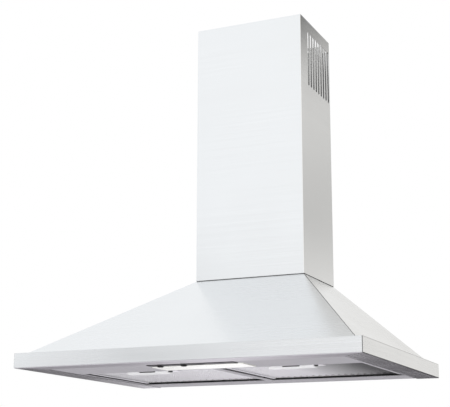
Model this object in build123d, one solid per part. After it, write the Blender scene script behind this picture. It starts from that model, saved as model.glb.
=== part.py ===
from build123d import *
from math import cos, degrees, radians, sin, sqrt
import os

# Overall sizes of the hood, in millimetres. X runs across, the wall is the plane Y = 0, and Z is up.
hood_width = 600.0
hood_depth = 450.0
rim_height = 25.0
rim_ledge = 14.0
neck_height = 177.0
chimney_width = 212.0
chimney_depth = 162.0
chimney_length = 493.0

# Sheet thicknesses, and the clearances between pieces
sheet = 0.8
panel_sheet = 1.0
rear_sheet = 1.2
deck_sheet = 1.2
fit = 0.3
hole_fit = 0.2
pin_fit = 0.05
press_fit = 0.02
slide_gap = 1.2
over = 1.0

# Canopy: the return flange under the rim, and the strips inside the two hips
flange_width = 40.0
hip_strip_half = 12.0
hip_strip_margin = 4.0

# Wall holes in the rear panel, measured up from the bottom of the rim
wall_hole_height = 112.0
wall_hole_spacing = 260.0
wall_hole_radius = 4.5
safety_hole_height = 45.0
safety_hole_spacing = 420.0
safety_hole_radius = 3.0

# Layout of the underside, from the flange at the front to the strip at the wall
slot_margin = 4.5
slot_width = 152.0
slot_depth = 20.0
light_bar = 8.0
light_width = 162.0
light_depth = 53.0
filter_bar = 20.5
rear_strip = 62.0
side_strip = 5.0
centre_bar = 14.0

# Chimney: vent slots, sliding sleeve and wall bracket
return_lip = 14.0
vent_count = 9
vent_width = 7.0
vent_length = 107.0
vent_pitch = 13.9
vent_back_margin = 10.0
vent_top_margin = 22.0
sleeve_length = 352.0
bracket_sheet = 1.5
bracket_height = 15.0
bracket_arm = 42.0
bracket_apron = 111.0
bracket_top_margin = 4.0
bracket_hole_spacing = 120.0
bracket_hole_radius = 3.0

# Grease filters
filter_side_gap = 2.0
filter_front_gap = 4.0
filter_rear_gap = 4.0
filter_recess = 2.2
filter_thickness = 9.0
frame_wall = 0.8
frame_border = 6.0
mesh_sheet = 0.8
mesh_columns = 14
mesh_rows = 16
mesh_strand = 2.4
pleat_count = 20
pleat_sheet = 0.5
tab_half = 15.0
tab_spread = 70.0
tab_reach = 8.0
tab_sheet = 0.8
bead_radius = 1.2

# Filter latches
bay_half = 47.0
bay_depth = 38.0
handle_width = 84.0
handle_depth = 20.0
handle_drop = 4.6
neck_half = 36.0
neck_inset = 2.0
latch_plate = 2.0
latch_travel = 7.0
bolt_half = 8.0
bolt_reach = 3.6
finger_half = 13.0
finger_depth = 9.0
spring_half = 34.0
spring_sheet = 0.5
spring_height = 5.0
keeper_half = 7.0
keeper_sheet = 0.6
keeper_base = 14.0

# Lamp and its tray
diffuser_gap = 0.75
diffuser_rear_gap = 2.6
diffuser_sheet = 2.0
diffuser_wall = 1.6
diffuser_proud = 1.6
diffuser_height = 8.8
diffuser_edge = 0.8
pin_radius = 1.4
pin_inset = 2.2
pin_height = 2.8
pin_reach = 3.2
ear_half = 3.0
ear_rise = 3.0
tray_margin = 4.0
tray_end_gap = 6.0
tray_height = 44.0
tray_flange = 11.0
holder_radius = 13.0
holder_length = 36.0
cap_radius = 7.0
cap_length = 22.0
cap_depth = 17.0
bulb_radius = 17.0
bulb_half_length = 44.0
bulb_wall = 0.8
lamp_height = 25.0

# Slide switch
bezel_sheet = 1.6
bezel_lip = 3.0
switch_wall = 2.0
switch_height = 18.0
switch_ear = 10.0
knob_width = 8.0
knob_depth = 10.0
knob_drop = 1.9
stem_half = 2.5
slider_head = 12.0
slider_head_sheet = 3.0
light_knob_x = -56.0
light_knob_travel = 12.0
speed_knob_x = -14.0
speed_knob_travel = 36.0

# Deck that carries the blower in the neck of the canopy
deck_drop = 7.0
deck_border = 8.0
deck_gap = 4.0
deck_flange_half = 92.0
deck_flange_height = 14.0
rivet_radius = 2.0
rivet_head_radius = 3.5
rivet_head = 1.2
rivet_margin = 8.0

# Blower: impeller and scroll casing
impeller_disc = 2.4
ring_sheet = 2.0
blade_count = 28
blade_depth = 11.0
blade_sheet = 1.0
blade_sweep = 9.0
blade_inset = 0.5
hub_radius = 11.0
hub_reach = 13.0
scroll_clearance = 10.0
scroll_side_clearance = 10.0
scroll_step = 9.0
scroll_wall = 2.0
tongue_offset = 8.0
blower_back_gap = 8.0
blower_floor_gap = 12.0
blower_head_gap = 6.26
inlet_overlap = 10.0
inlet_lip = 4.0
outlet_rise = 40.0
outlet_lip = 6.0
lug_radius = 5.0
lug_length = 8.0
wing_sheet = 3.0
wing_margin = 2.0
wing_hole_inset = 9.0
pad_radius = 7.0
pad_height = 3.0
screw_radius = 1.5
screw_head_radius = 2.6
screw_head = 2.4
bolt_radius = 2.0
bolt_head_radius = 4.0
bolt_head = 2.6
bolt_tail = 4.0

# Motor
motor_share = 0.6334
motor_gap = 7.0
motor_wall = 2.0
motor_end_plate = 6.0
rotor_share = 0.563
air_gap = 0.6
core_gap = 5.0
shaft_radius = 4.0
bearing_radius = 8.0
nut_height = 5.0
nut_width = 14.0
spider_hub = 30.0
spider_eye = 10.0
spider_sheet = 2.5
spider_arm = 14.0
spider_grip = 12.0

# Outlet collar and its two flaps
hose_room = 9.0
spigot_radius = 60.0
spigot_wall = 2.0
spigot_length = 45.0
adapter_flange = 2.0
adapter_rise = 38.0
flap_height = 12.0
flap_sheet = 1.2
flap_gap = 0.6
flap_rod_radius = 2.0
knuckle_wall = 1.6
knuckle_span = 24.0
ledge_width = 3.0
ledge_sheet = 2.0

# Electrical pieces beside the outlet
capacitor_radius = 12.0
capacitor_length = 50.0
clip_wall = 1.2
clip_height = 10.0
box_width = 24.0
box_depth = 36.0
box_height = 30.0
box_wall = 2.0
bench_clear = 1.35
lid_sheet = 2.0
gland_radius = 7.0
gland_neck = 5.25
gland_bore = 3.5
gland_height = 12.0
stud_radius = 1.5
stud_height = 6.0
stud_inset = 5.0
stud_nut = 2.4
stud_nut_width = 5.5

# Places that follow from the sizes above
flange_y = -(hood_depth - flange_width)
slot_front = flange_y + slot_margin
slot_rear = slot_front + slot_depth
light_front = slot_rear + light_bar
light_rear = light_front + light_depth
open_front = light_rear + filter_bar
open_rear = -rear_strip
open_inner = centre_bar / 2
open_outer = hood_width / 2 - flange_width - side_strip
panel_top = sheet + panel_sheet

filter_x = (open_inner + open_outer) / 2
filter_half = (open_outer - open_inner) / 2 - filter_side_gap
filter_front = open_front + filter_front_gap
filter_rear = open_rear - filter_rear_gap
filter_hinge_y = filter_rear + filter_rear_gap / 2
filter_bottom = sheet + filter_recess
filter_top = filter_bottom + filter_thickness
bay_rear = filter_front + bay_depth
slide_bottom = filter_bottom + frame_wall + fit
slide_front = filter_front + frame_wall + fit

side_run = (hood_width - chimney_width) / 2 - rim_ledge
front_run = hood_depth - chimney_depth - rim_ledge
hip_run = sqrt(side_run ** 2 + front_run ** 2)
canopy_rise = neck_height - rim_height
side_lean = side_run / canopy_rise
front_lean = front_run / canopy_rise

cover_bottom = neck_height + fit
cover_top = neck_height + chimney_length
sleeve_inset = sheet + slide_gap
sleeve_half = chimney_width / 2 - sleeve_inset
bracket_top = cover_top - bracket_top_margin
bracket_bottom = bracket_top - bracket_height

deck_z = neck_height - deck_drop
deck_top = deck_z + deck_sheet
rivet_x = deck_flange_half - rivet_margin
rivet_z = deck_z - deck_flange_height / 2

blower_height = deck_z - filter_top - blower_floor_gap - blower_head_gap
lug_share = sqrt(0.5)
lug_room = scroll_step + lug_radius + (lug_radius - scroll_wall / 2) * lug_share
scroll_radius = (blower_height - lug_room) / (1 + lug_share)
impeller_radius = scroll_radius - scroll_clearance - scroll_wall
inlet_radius = impeller_radius - inlet_overlap
bench_width = 2 * (max(capacitor_radius + pin_fit + clip_wall, box_width / 2) + bench_clear)
wing_x = sleeve_half - sheet - wing_margin
scroll_half = wing_x - bench_width - outlet_lip
impeller_half = scroll_half - scroll_side_clearance - scroll_wall
scroll_rear = scroll_step / 2 + scroll_radius + 2 * scroll_step
scroll_floor = scroll_step / 2 + scroll_radius + scroll_step
shaft_y = -(rear_sheet + blower_back_gap + scroll_rear)
shaft_z = filter_top + blower_floor_gap + scroll_floor
shaft_plane = Plane(origin=(0, shaft_y, shaft_z), x_dir=(0, 1, 0), z_dir=(1, 0, 0))
scroll_centres = [
    (-scroll_step / 2, -scroll_step / 2),
    (scroll_step / 2, -scroll_step / 2),
    (scroll_step / 2, scroll_step / 2),
]
scroll_angles = (135, 225, 315)
outlet_front = shaft_y + tongue_offset
outlet_rear = shaft_y + scroll_rear
outlet_top = deck_top + outlet_rise
wing_z = deck_top + pad_height
wing_top = wing_z + wing_sheet
wing_hole_x = (scroll_half + wing_x) / 2
wing_hole_front = outlet_front + wing_hole_inset
wing_hole_rear = outlet_rear - wing_hole_inset
wing_mid_y = (wing_hole_front + wing_hole_rear) / 2
bench_x = wing_x - bench_width / 2

motor_radius = motor_share * impeller_radius
rotor_radius = rotor_share * motor_radius
motor_end = scroll_half
motor_start = hub_reach + motor_gap
core_ends = (motor_start + motor_end_plate + core_gap, motor_end - motor_end_plate - core_gap)
spider_angles = (30, 150, 270)
spider_fix = (spider_eye + spider_hub) / 2
spider_reach = inlet_radius + spider_grip
spider_grip_radius = inlet_radius + spider_grip / 2

spigot_y = -(sleeve_inset + sheet + hose_room + spigot_radius)
adapter_bottom = outlet_top + adapter_flange
spigot_bottom = adapter_bottom + adapter_rise
spigot_top = spigot_bottom + spigot_length
flap_z = spigot_bottom + flap_height

diffuser_bottom = sheet - diffuser_proud
hinge_y = light_rear - pin_inset
hinge_z = panel_top + pin_height - pin_radius + fit
tray_half = light_width / 2 + tray_end_gap
tray_front = light_front - tray_margin
tray_rear = light_rear + diffuser_rear_gap + tray_margin
tray_top = panel_top + tray_height
lamp_y = (light_front + light_rear) / 2
bezel_bottom = sheet - bezel_sheet
switch_mid = (slot_front + slot_rear) / 2
switch_half = slot_width / 2


def block(x, y, z):
    """A box between the two ends given along each axis."""
    low = (min(x), min(y), min(z))
    size = [abs(ends[1] - ends[0]) for ends in (x, y, z)]
    return Pos(*low) * Box(*size, align=(Align.MIN, Align.MIN, Align.MIN))


def pair(half):
    """The two ends of a length centred on zero."""
    return (-half, half)


def rod_x(radius, x, y, z):
    """A round bar along X between the two ends in x."""
    bar = Cylinder(radius, max(x) - min(x), align=(Align.CENTER, Align.CENTER, Align.MIN))
    return Pos(min(x), y, z) * Rot(0, 90, 0) * bar


def rod_y(radius, x, y, z):
    """A round bar along Y between the two ends in y."""
    bar = Cylinder(radius, max(y) - min(y), align=(Align.CENTER, Align.CENTER, Align.MIN))
    return Pos(x, min(y), z) * Rot(-90, 0, 0) * bar


def rod_z(radius, x, y, z):
    """A round bar along Z between the two ends in z."""
    bar = Cylinder(radius, max(z) - min(z), align=(Align.CENTER, Align.CENTER, Align.MIN))
    return Pos(x, y, min(z)) * bar


def polygon(points):
    """A flat face bounded by straight lines through the points."""
    return make_face(Polyline(*points, close=True))


def group(shapes):
    """Separate solids that share one node."""
    return Compound([solid for shape in shapes for solid in shape.solids()])


# Canopy

def canopy_half_width(z, skin):
    """Half the canopy's width between its sloping sides at height z, drawn in by skin."""
    slope = hood_width / 2 - rim_ledge - (z - rim_height) * side_lean
    return slope - skin * sqrt(1 + side_lean ** 2)


def canopy_front_y(z, skin):
    """Where the canopy's sloping front lies at height z, drawn in by skin."""
    slope = hood_depth - rim_ledge - (z - rim_height) * front_lean
    return -(slope - skin * sqrt(1 + front_lean ** 2))


def canopy_volume(skin):
    """All that lies within the canopy, drawn in by skin on every face but the back and the top."""
    bend = rim_height - skin
    rim_x = hood_width / 2 - skin
    rim_y = skin - hood_depth
    half_base = canopy_half_width(bend, skin)
    half_neck = canopy_half_width(neck_height, skin)
    right_edge = [(rim_x, skin), (rim_x, bend), (half_base, bend), (half_neck, neck_height)]
    left_edge = [(-x, z) for x, z in reversed(right_edge)]
    front_edge = [(rim_y, skin), (rim_y, bend)]
    front_edge += [(canopy_front_y(bend, skin), bend), (canopy_front_y(neck_height, skin), neck_height)]
    from_front = extrude(Plane.XZ * polygon(right_edge + left_edge), hood_depth)
    from_side = extrude(Plane.YZ * polygon(front_edge + [(0, neck_height), (0, skin)]), hood_width, both=True)
    return from_front & from_side


def hip_point(along):
    """A plan point on the right hip, this far up the hip line from the rim's ledge."""
    share = along / hip_run
    return (hood_width / 2 - rim_ledge - side_run * share, -(hood_depth - rim_ledge - front_run * share))


def canopy_sheets():
    """The front, left and right sheets of the canopy, which meet at the hips and at the rim's corners."""
    mouth_x = hood_width / 2 - flange_width
    mouth = block(pair(mouth_x), (flange_y, over), (-over, sheet))
    shell = canopy_volume(0) - canopy_volume(sheet) - mouth
    inner = hip_point(hip_run + hip_strip_half)
    corner = (hood_width / 2 + over, -(hood_depth + over))
    ledge = hip_point(0)
    right = [corner, (corner[0], over), (inner[0], over), inner, ledge]
    left = [(-x, y) for x, y in right]
    front = [corner, ledge, inner] + [(-x, y) for x, y in (inner, ledge, corner)]
    return [shell & extrude(polygon(zone), neck_height) for zone in (front, left, right)]


def hip_strip(side):
    """A folded strip inside a hip, lying against both of the sheets that meet there."""
    layer = canopy_volume(sheet) - canopy_volume(2 * sheet)
    across = (front_run / hip_run * hip_strip_half, side_run / hip_run * hip_strip_half)
    low, high = hip_point(0), hip_point(hip_run)
    strip = [
        (low[0] + across[0], low[1] + across[1]),
        (high[0] + across[0], high[1] + across[1]),
        (high[0] - across[0], high[1] - across[1]),
        (low[0] - across[0], low[1] - across[1]),
    ]
    height = (rim_height + hip_strip_margin, deck_z - hip_strip_margin)
    zone = Pos(0, 0, height[0]) * extrude(polygon([(side * x, y) for x, y in strip]), height[1] - height[0])
    return layer & zone


def rear_panel():
    """The flat back of the canopy, with the holes that hang it on the wall."""
    panel = canopy_volume(sheet + fit) & block(pair(hood_width), (-rear_sheet, 0), (0, neck_height))
    through = (-rear_sheet - over, over)
    for side in (-1, 1):
        panel -= rod_y(wall_hole_radius, side * wall_hole_spacing / 2, through, wall_hole_height)
        panel -= rod_y(safety_hole_radius, side * safety_hole_spacing / 2, through, safety_hole_height)
        panel -= rod_y(rivet_radius + hole_fit, side * rivet_x, through, rivet_z)
    return panel


def underside_panel():
    """The panel that closes the hood below, lying on the rim's return flange."""
    half = hood_width / 2 - sheet - fit
    panel = block(pair(half), (-(hood_depth - sheet - fit), -(rear_sheet + fit)), (sheet, panel_top))
    through = (sheet - over, panel_top + over)
    for side in (-1, 1):
        panel -= block((side * open_inner, side * open_outer), (open_front, open_rear), through)
    light_x = light_width / 2 + diffuser_gap
    panel -= block(pair(light_x), (light_front - diffuser_gap, light_rear + diffuser_rear_gap), through)
    bezel_x = switch_half - bezel_lip + fit
    bezel_y = slot_depth / 2 - bezel_lip + fit
    panel -= block(pair(bezel_x), (switch_mid - bezel_y, switch_mid + bezel_y), through)
    return panel


def stud_points():
    """Where studs stand on the underside panel, for the lamp tray and the slide switch."""
    tray_x = tray_half + tray_flange - stud_inset
    switch_x = switch_half + switch_ear - stud_inset
    return [(-tray_x, lamp_y), (tray_x, lamp_y), (-switch_x, switch_mid), (switch_x, switch_mid)]


def stud_seat(index):
    """How thick the piece is that each stud clamps."""
    return sheet if index < 2 else switch_wall


def panel_studs():
    """Studs welded to the top of the underside panel."""
    return group([rod_z(stud_radius, x, y, (panel_top, panel_top + stud_height)) for x, y in stud_points()])


def panel_nuts():
    """Nuts on the studs of the underside panel."""
    nuts = []
    for index, (x, y) in enumerate(stud_points()):
        nut = extrude(RegularPolygon(stud_nut_width / 2, 6, major_radius=False), stud_nut)
        bore = rod_z(stud_radius + pin_fit, 0, 0, (-over, stud_nut + over))
        nuts.append(Pos(x, y, panel_top + stud_seat(index)) * (nut - bore))
    return group(nuts)


# Chimney

def channel(half, depth, back, z):
    """A folded sheet channel, open at the back but for two narrow lips."""
    outer = block(pair(half), (-depth, -back), z)
    room = block(pair(half - sheet), (-(depth - sheet), -(back + sheet)), z)
    gap = block(pair(half - return_lip), (-(back + sheet), -back), z)
    return outer - room - gap


def chimney_cover():
    """The outer chimney, with vent slots near the top of both sides."""
    cover = channel(chimney_width / 2, chimney_depth, 0, (cover_bottom, cover_top))
    slot = extrude(Plane.YZ * SlotOverall(vent_length, vent_width, rotation=90), chimney_width, both=True)
    vent_z = cover_top - vent_top_margin - vent_length / 2
    cover -= [Pos(0, -(vent_back_margin + i * vent_pitch), vent_z) * slot for i in range(vent_count)]
    notch = block(pair(chimney_width / 2 - sheet), (-sheet, over), (bracket_bottom - fit, cover_top))
    return cover - notch


def chimney_sleeve():
    """The inner chimney that stands on the deck and guides the cover as it slides up."""
    height = (deck_top, deck_top + sleeve_length)
    return channel(sleeve_half, chimney_depth - sleeve_inset, sleeve_inset, height)


def chimney_bracket():
    """The bracket that screws to the wall, with arms inside the cover and an apron behind the vent slots."""
    half = chimney_width / 2 - sheet - fit
    height = (bracket_bottom, bracket_top)
    apron_half = chimney_width / 2 - return_lip - slide_gap
    bracket = block(pair(half), (-bracket_sheet, 0), height)
    bracket += block(pair(apron_half), (-bracket_sheet, 0), (bracket_bottom - bracket_apron, bracket_bottom))
    for side in (-1, 1):
        bracket += block((side * (half - bracket_sheet), side * half), (-bracket_arm, 0), height)
        hole_x = side * bracket_hole_spacing / 2
        hole_z = (bracket_bottom + bracket_top) / 2
        bracket -= rod_y(bracket_hole_radius, hole_x, (-bracket_sheet - over, over), hole_z)
    return bracket


# Grease filters, drawn about the middle of one filter

def filter_frame():
    """The folded channel round a filter, its latch bay, and the rear tabs it swings on."""
    wall = frame_wall
    outer = block(pair(filter_half), (filter_front, filter_rear), (filter_bottom, filter_top))
    inside = block(
        pair(filter_half - wall),
        (filter_front + wall, filter_rear - wall),
        (filter_bottom + wall, filter_top - wall),
    )
    window = block(
        pair(filter_half - frame_border),
        (filter_front + frame_border, filter_rear - frame_border),
        (filter_bottom - over, filter_top + over),
    )
    bay = block(pair(bay_half), (filter_front, bay_rear), (filter_bottom, filter_top - wall))
    bay -= block(
        pair(bay_half - wall),
        (filter_front, bay_rear - wall),
        (filter_bottom + wall, filter_top),
    )
    frame = outer - inside - window + bay
    slot_half = neck_half + hole_fit
    slot_start = slide_front + neck_inset - hole_fit
    slot_end = slide_front + handle_depth - neck_inset + latch_travel + hole_fit
    through = (filter_bottom - over, filter_bottom + wall + over)
    frame -= block(pair(slot_half), (slot_start, slot_end), through)
    bolt_z = (slide_bottom - hole_fit, slide_bottom + latch_plate + hole_fit)
    frame -= block(pair(bolt_half + hole_fit), (filter_front - over, filter_front + wall), bolt_z)
    for side in (-1, 1):
        frame += filter_tab(side * tab_spread)
    return frame


def filter_tab(x):
    """A rear tab: a rolled bead that the filter swings on, and a tongue that lies on the panel."""
    ends = (x - tab_half, x + tab_half)
    tongue_z = (panel_top + fit, panel_top + fit + tab_sheet)
    tongue = block(ends, (filter_hinge_y, filter_hinge_y + tab_reach), tongue_z)
    root_z = (filter_bottom, filter_bottom + frame_wall)
    root = block(ends, (filter_rear - frame_wall, filter_hinge_y), root_z)
    return root + rod_x(bead_radius, ends, filter_hinge_y, filter_bottom) + tongue


def filter_clearing():
    """The room that the latch bay takes out of a filter's mesh and core."""
    return block(
        pair(bay_half + fit),
        (filter_front - over, bay_rear + fit),
        (filter_bottom - over, filter_top + over),
    )


def filter_mesh():
    """The expanded sheet on the underside of a filter: a flat net of diamond gaps."""
    half_x = filter_half - frame_wall - fit
    y = (filter_front + frame_wall + fit, filter_rear - frame_wall - fit)
    bottom = filter_bottom + frame_wall
    net_x = 2 * (filter_half - frame_border) - mesh_strand
    net_y = filter_rear - filter_front - 2 * frame_border - mesh_strand
    step_x = net_x / mesh_columns
    step_y = net_y / mesh_rows
    half_gap_x = step_x / 2 - mesh_strand / 2
    half_gap_y = step_y / 2 - mesh_strand / 4
    gap = polygon([(half_gap_x, 0), (0, half_gap_y), (-half_gap_x, 0), (0, -half_gap_y)])
    clearing_x = bay_half + fit + step_x / 2 + mesh_strand / 2
    clearing_y = bay_rear + fit + step_y / 2 + mesh_strand / 2
    mid_y = (filter_front + filter_rear) / 2
    gaps = []
    for place in GridLocations(step_x, step_y, mesh_columns, mesh_rows):
        x, y_gap = place.position.X, place.position.Y + mid_y
        if abs(x) > clearing_x or y_gap > clearing_y:
            gaps.append(Pos(x, y_gap) * gap)
    solid = Pos(0, (y[0] + y[1]) / 2) * Rectangle(2 * half_x, y[1] - y[0])
    bay_y = bay_rear + fit
    cut = Pos(0, (y[0] + bay_y) / 2) * Rectangle(2 * (bay_half + fit), bay_y - y[0])
    return Pos(0, 0, bottom) * extrude(solid - cut - gaps, mesh_sheet)


def filter_core():
    """The pleated layer inside a filter, on which the grease settles."""
    half = filter_half - frame_wall - fit
    low = filter_bottom + frame_wall + mesh_sheet + fit
    high = filter_top - frame_wall - fit - pleat_sheet
    step = 2 * half / (2 * pleat_count)
    lower = [(-half + i * step, high if i % 2 else low) for i in range(2 * pleat_count + 1)]
    upper = [(x, z + pleat_sheet) for x, z in reversed(lower)]
    depth = filter_rear - filter_front - 2 * (frame_wall + fit)
    pleats = Pos(0, filter_rear - frame_wall - fit, 0) * extrude(Plane.XZ * polygon(lower + upper), depth)
    return pleats - filter_clearing()


def filter_latch():
    """The sliding handle of a filter: a grip outside, a bolt plate inside, and a finger hole through both."""
    grip_y = (slide_front, slide_front + handle_depth)
    neck_y = (slide_front + neck_inset, slide_front + handle_depth - neck_inset)
    grip_top = filter_bottom - fit
    grip = block(pair(handle_width / 2), grip_y, (grip_top - handle_drop, grip_top))
    neck = block(pair(neck_half), neck_y, (grip_top, slide_bottom))
    plate_z = (slide_bottom, slide_bottom + latch_plate)
    plate = block(pair(bay_half - frame_wall - fit), grip_y, plate_z)
    bolt = block(pair(bolt_half), (filter_front - bolt_reach, slide_front), plate_z)
    mid = (grip_y[0] + grip_y[1]) / 2
    finger_y = (mid - finger_depth / 2, mid + finger_depth / 2)
    finger = block(pair(finger_half), finger_y, (grip_top - handle_drop - over, plate_z[1] + over))
    return grip + neck + plate + bolt - finger


def latch_spring():
    """A bowed leaf spring between the rear wall of the bay and the latch."""
    back = bay_rear - frame_wall - press_fit
    front = slide_front + handle_depth + press_fit
    outer = ThreePointArc((-spring_half, back), (0, front), (spring_half, back))
    foot = spring_half - spring_sheet
    inner = ThreePointArc((foot, back), (0, front + spring_sheet), (-foot, back))
    ends = [Line(outer @ 1, inner @ 0), Line(inner @ 1, outer @ 0)]
    leaf = make_face([outer, ends[0], inner, ends[1]])
    return Pos(0, 0, slide_bottom) * extrude(leaf, spring_height)


def filter_keeper():
    """A spring catch on the panel: its lip reaches under the latch's bolt."""
    lip_top = slide_bottom - fit
    lip_end = filter_front - fit
    riser = (open_front - keeper_sheet, open_front)
    base_y = (open_front - keeper_base, open_front)
    base = block(pair(keeper_half), base_y, (panel_top, panel_top + keeper_sheet))
    post = block(pair(keeper_half), riser, (panel_top, lip_top))
    lip = block(pair(keeper_half), (riser[0], lip_end), (lip_top - keeper_sheet, lip_top))
    return base + post + lip


# Lamp

def light_diffuser():
    """The clear cover of the lamp: a shallow tray that hangs on two pins at its rear edge."""
    half = light_width / 2
    y = (light_front, light_rear)
    top = diffuser_bottom + diffuser_height
    tray = block(pair(half), y, (diffuser_bottom, top))
    tray = fillet(tray.faces().sort_by(Axis.Z)[0].edges(), diffuser_edge)
    wall = diffuser_wall
    room_z = (diffuser_bottom + diffuser_sheet, top + over)
    tray -= block(pair(half - wall), (y[0] + wall, y[1] - wall), room_z)
    for side in (-1, 1):
        tray += rod_x(pin_radius, (side * (half - wall), side * (half + pin_reach)), hinge_y, hinge_z)
    return tray


def light_tray():
    """The metal tray over the lamp, with the ears that hold the diffuser's pins."""
    wall = sheet
    tray = block(pair(tray_half), (tray_front, tray_rear), (panel_top, tray_top))
    room_y = (tray_front + wall, tray_rear - wall)
    tray -= block(pair(tray_half - wall), room_y, (panel_top - over, tray_top - wall))
    for side in (-1, 1):
        flange_x = (side * tray_half, side * (tray_half + tray_flange))
        flange = block(flange_x, (tray_front, tray_rear), (panel_top, panel_top + wall))
        ear_x = (side * (light_width / 2 + diffuser_gap), side * (tray_half - wall / 2))
        ear_z = (panel_top, hinge_z + ear_rise)
        ear = block(ear_x, (hinge_y - ear_half, hinge_y + ear_half), ear_z)
        tray = tray + flange + ear - rod_x(pin_radius + pin_fit, ear_x, hinge_y, hinge_z)
    for x, y in stud_points()[:2]:
        tray -= rod_z(stud_radius + hole_fit, x, y, (panel_top - over, panel_top + wall + over))
    return tray


def lamp_holder():
    """The socket, fixed to the left end of the tray."""
    left = sheet - tray_half
    right = left + holder_length
    holder = rod_x(holder_radius, (left, right), lamp_y, lamp_height)
    return holder - rod_x(cap_radius + pin_fit, (right - cap_depth, right + over), lamp_y, lamp_height)


def lamp_cap():
    """The metal screw cap of the lamp."""
    left = sheet - tray_half + holder_length - cap_depth
    return rod_x(cap_radius, (left + fit, left + cap_length), lamp_y, lamp_height)


def lamp_glass():
    """The candle-shaped glass of the lamp, a thin hollow shell."""
    left = sheet - tray_half + holder_length - cap_depth + cap_length
    neck = bulb_half_length * sqrt(1 - (cap_radius / bulb_radius) ** 2)
    outer = Ellipse(bulb_half_length, bulb_radius)
    inner = Ellipse(bulb_half_length - bulb_wall, bulb_radius - bulb_wall)
    half_place = Pos((bulb_half_length - neck) / 2, bulb_radius / 2)
    half = half_place * Rectangle(bulb_half_length + neck, bulb_radius)
    shell = revolve((outer - inner) & half, Axis.X)
    return Pos(left + neck, lamp_y, lamp_height) * shell


# Slide switch

def knob_slots(z):
    """The two guide slots that the sliders' stems run in."""
    slots = []
    for start, travel in ((light_knob_x, light_knob_travel), (speed_knob_x, speed_knob_travel)):
        ends = (start - stem_half - hole_fit, start + travel + stem_half + hole_fit)
        reach = stem_half + hole_fit
        slots.append(block(ends, (switch_mid - reach, switch_mid + reach), z))
    return slots


def switch_bezel():
    """The black face of the switch, seen from below, with a neck through the panel."""
    face = block(pair(switch_half), (slot_front, slot_rear), (bezel_bottom, sheet))
    neck_y = (slot_front + bezel_lip, slot_rear - bezel_lip)
    neck = block(pair(switch_half - bezel_lip), neck_y, (sheet, panel_top))
    return face + neck - knob_slots((bezel_bottom - over, panel_top + over))


def switch_housing():
    """The closed box over the switch, held by an ear at each end."""
    wall = switch_wall
    y = (slot_front - fit, slot_rear + fit)
    top = panel_top + switch_height
    housing = block(pair(switch_half), y, (panel_top, top))
    housing -= block(pair(switch_half - wall), (y[0] + wall, y[1] - wall), (panel_top - over, top - wall))
    ears = block(pair(switch_half + switch_ear), y, (panel_top, panel_top + wall))
    housing += ears - block(pair(switch_half - wall), y, (panel_top, panel_top + wall))
    for x, y_stud in stud_points()[2:]:
        housing -= rod_z(stud_radius + hole_fit, x, y_stud, (panel_top - over, panel_top + wall + over))
    return housing


def switch_contacts():
    """The contact block that fills the housing above the sliders' heads."""
    half = switch_half - switch_wall - fit
    y = (slot_front + switch_wall, slot_rear - switch_wall)
    low = panel_top + fit + slider_head_sheet + fit
    return block(pair(half), y, (low, panel_top + switch_height - switch_wall))


def slider(x):
    """A slider: the knob below, its stem through the bezel, and the head that keeps it in."""
    knob_top = bezel_bottom - fit
    head_bottom = panel_top + fit
    depth = pair(knob_depth / 2)
    knob = block(pair(knob_width / 2), depth, (knob_top - knob_drop, knob_top))
    stem = block(pair(stem_half), pair(stem_half), (knob_top, head_bottom))
    head = block(pair(slider_head / 2), depth, (head_bottom, head_bottom + slider_head_sheet))
    return Pos(x, switch_mid, 0) * (knob + stem + head)


# Deck and blower

def deck():
    """The plate across the neck of the canopy that carries the blower and the chimney sleeve."""
    half = canopy_half_width(deck_top, sheet + fit)
    front = canopy_front_y(deck_top, sheet + fit)
    plate = block(pair(half), (front, -rear_sheet), (deck_z, deck_top))
    opening_y = (front + deck_border, outlet_rear + deck_gap)
    plate -= block(pair(scroll_half + deck_gap), opening_y, (deck_z - over, deck_top + over))
    flange_z = (deck_z - deck_flange_height, deck_top)
    plate += block(pair(deck_flange_half), (-(rear_sheet + deck_sheet), -rear_sheet), flange_z)
    for side in (-1, 1):
        rivet_y = (-(rear_sheet + deck_sheet + over), 0)
        plate -= rod_y(rivet_radius + hole_fit, side * rivet_x, rivet_y, rivet_z)
    for x, y in wing_holes():
        plate -= rod_z(bolt_radius + hole_fit, x, y, (deck_z - over, deck_top + over))
    return plate


def deck_rivets():
    """Rivets that hold the deck's flange to the rear panel."""
    head_y = -(rear_sheet + deck_sheet)
    rivets = []
    for side in (-1, 1):
        shank = rod_y(rivet_radius, side * rivet_x, (head_y, -press_fit), rivet_z)
        head = rod_y(rivet_head_radius, side * rivet_x, (head_y - rivet_head, head_y), rivet_z)
        rivets.append(shank + head)
    return group(rivets)


def wing_holes():
    """Plan points of the four bolts that hold the blower to the deck."""
    return [(side * wing_hole_x, y) for side in (-1, 1) for y in (wing_hole_front, wing_hole_rear)]


def turned(centre, radius, angle):
    """The point at this angle on a circle in the plane across the shaft."""
    return (centre[0] + radius * cos(radians(angle)), centre[1] + radius * sin(radians(angle)))


def scroll_face(skin):
    """The scroll's outline across the shaft, drawn in by skin: three widening quarters and the outlet."""
    radii = [scroll_radius + i * scroll_step - skin for i in range(3)]
    tongue = tongue_offset + skin
    tongue_rise = scroll_centres[0][1] + sqrt(radii[0] ** 2 - (tongue - scroll_centres[0][0]) ** 2)
    start = (tongue, tongue_rise)
    top = outlet_top - shaft_z
    edges = []
    for i, angle in enumerate(scroll_angles):
        middle = turned(scroll_centres[i], radii[i], angle)
        end = turned(scroll_centres[i], radii[i], angle + 45)
        edges.append(ThreePointArc(start, middle, end))
        start = end
    edges += Polyline(start, (start[0], top), (tongue, top), (tongue, tongue_rise)).edges()
    return make_face(edges)


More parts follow.
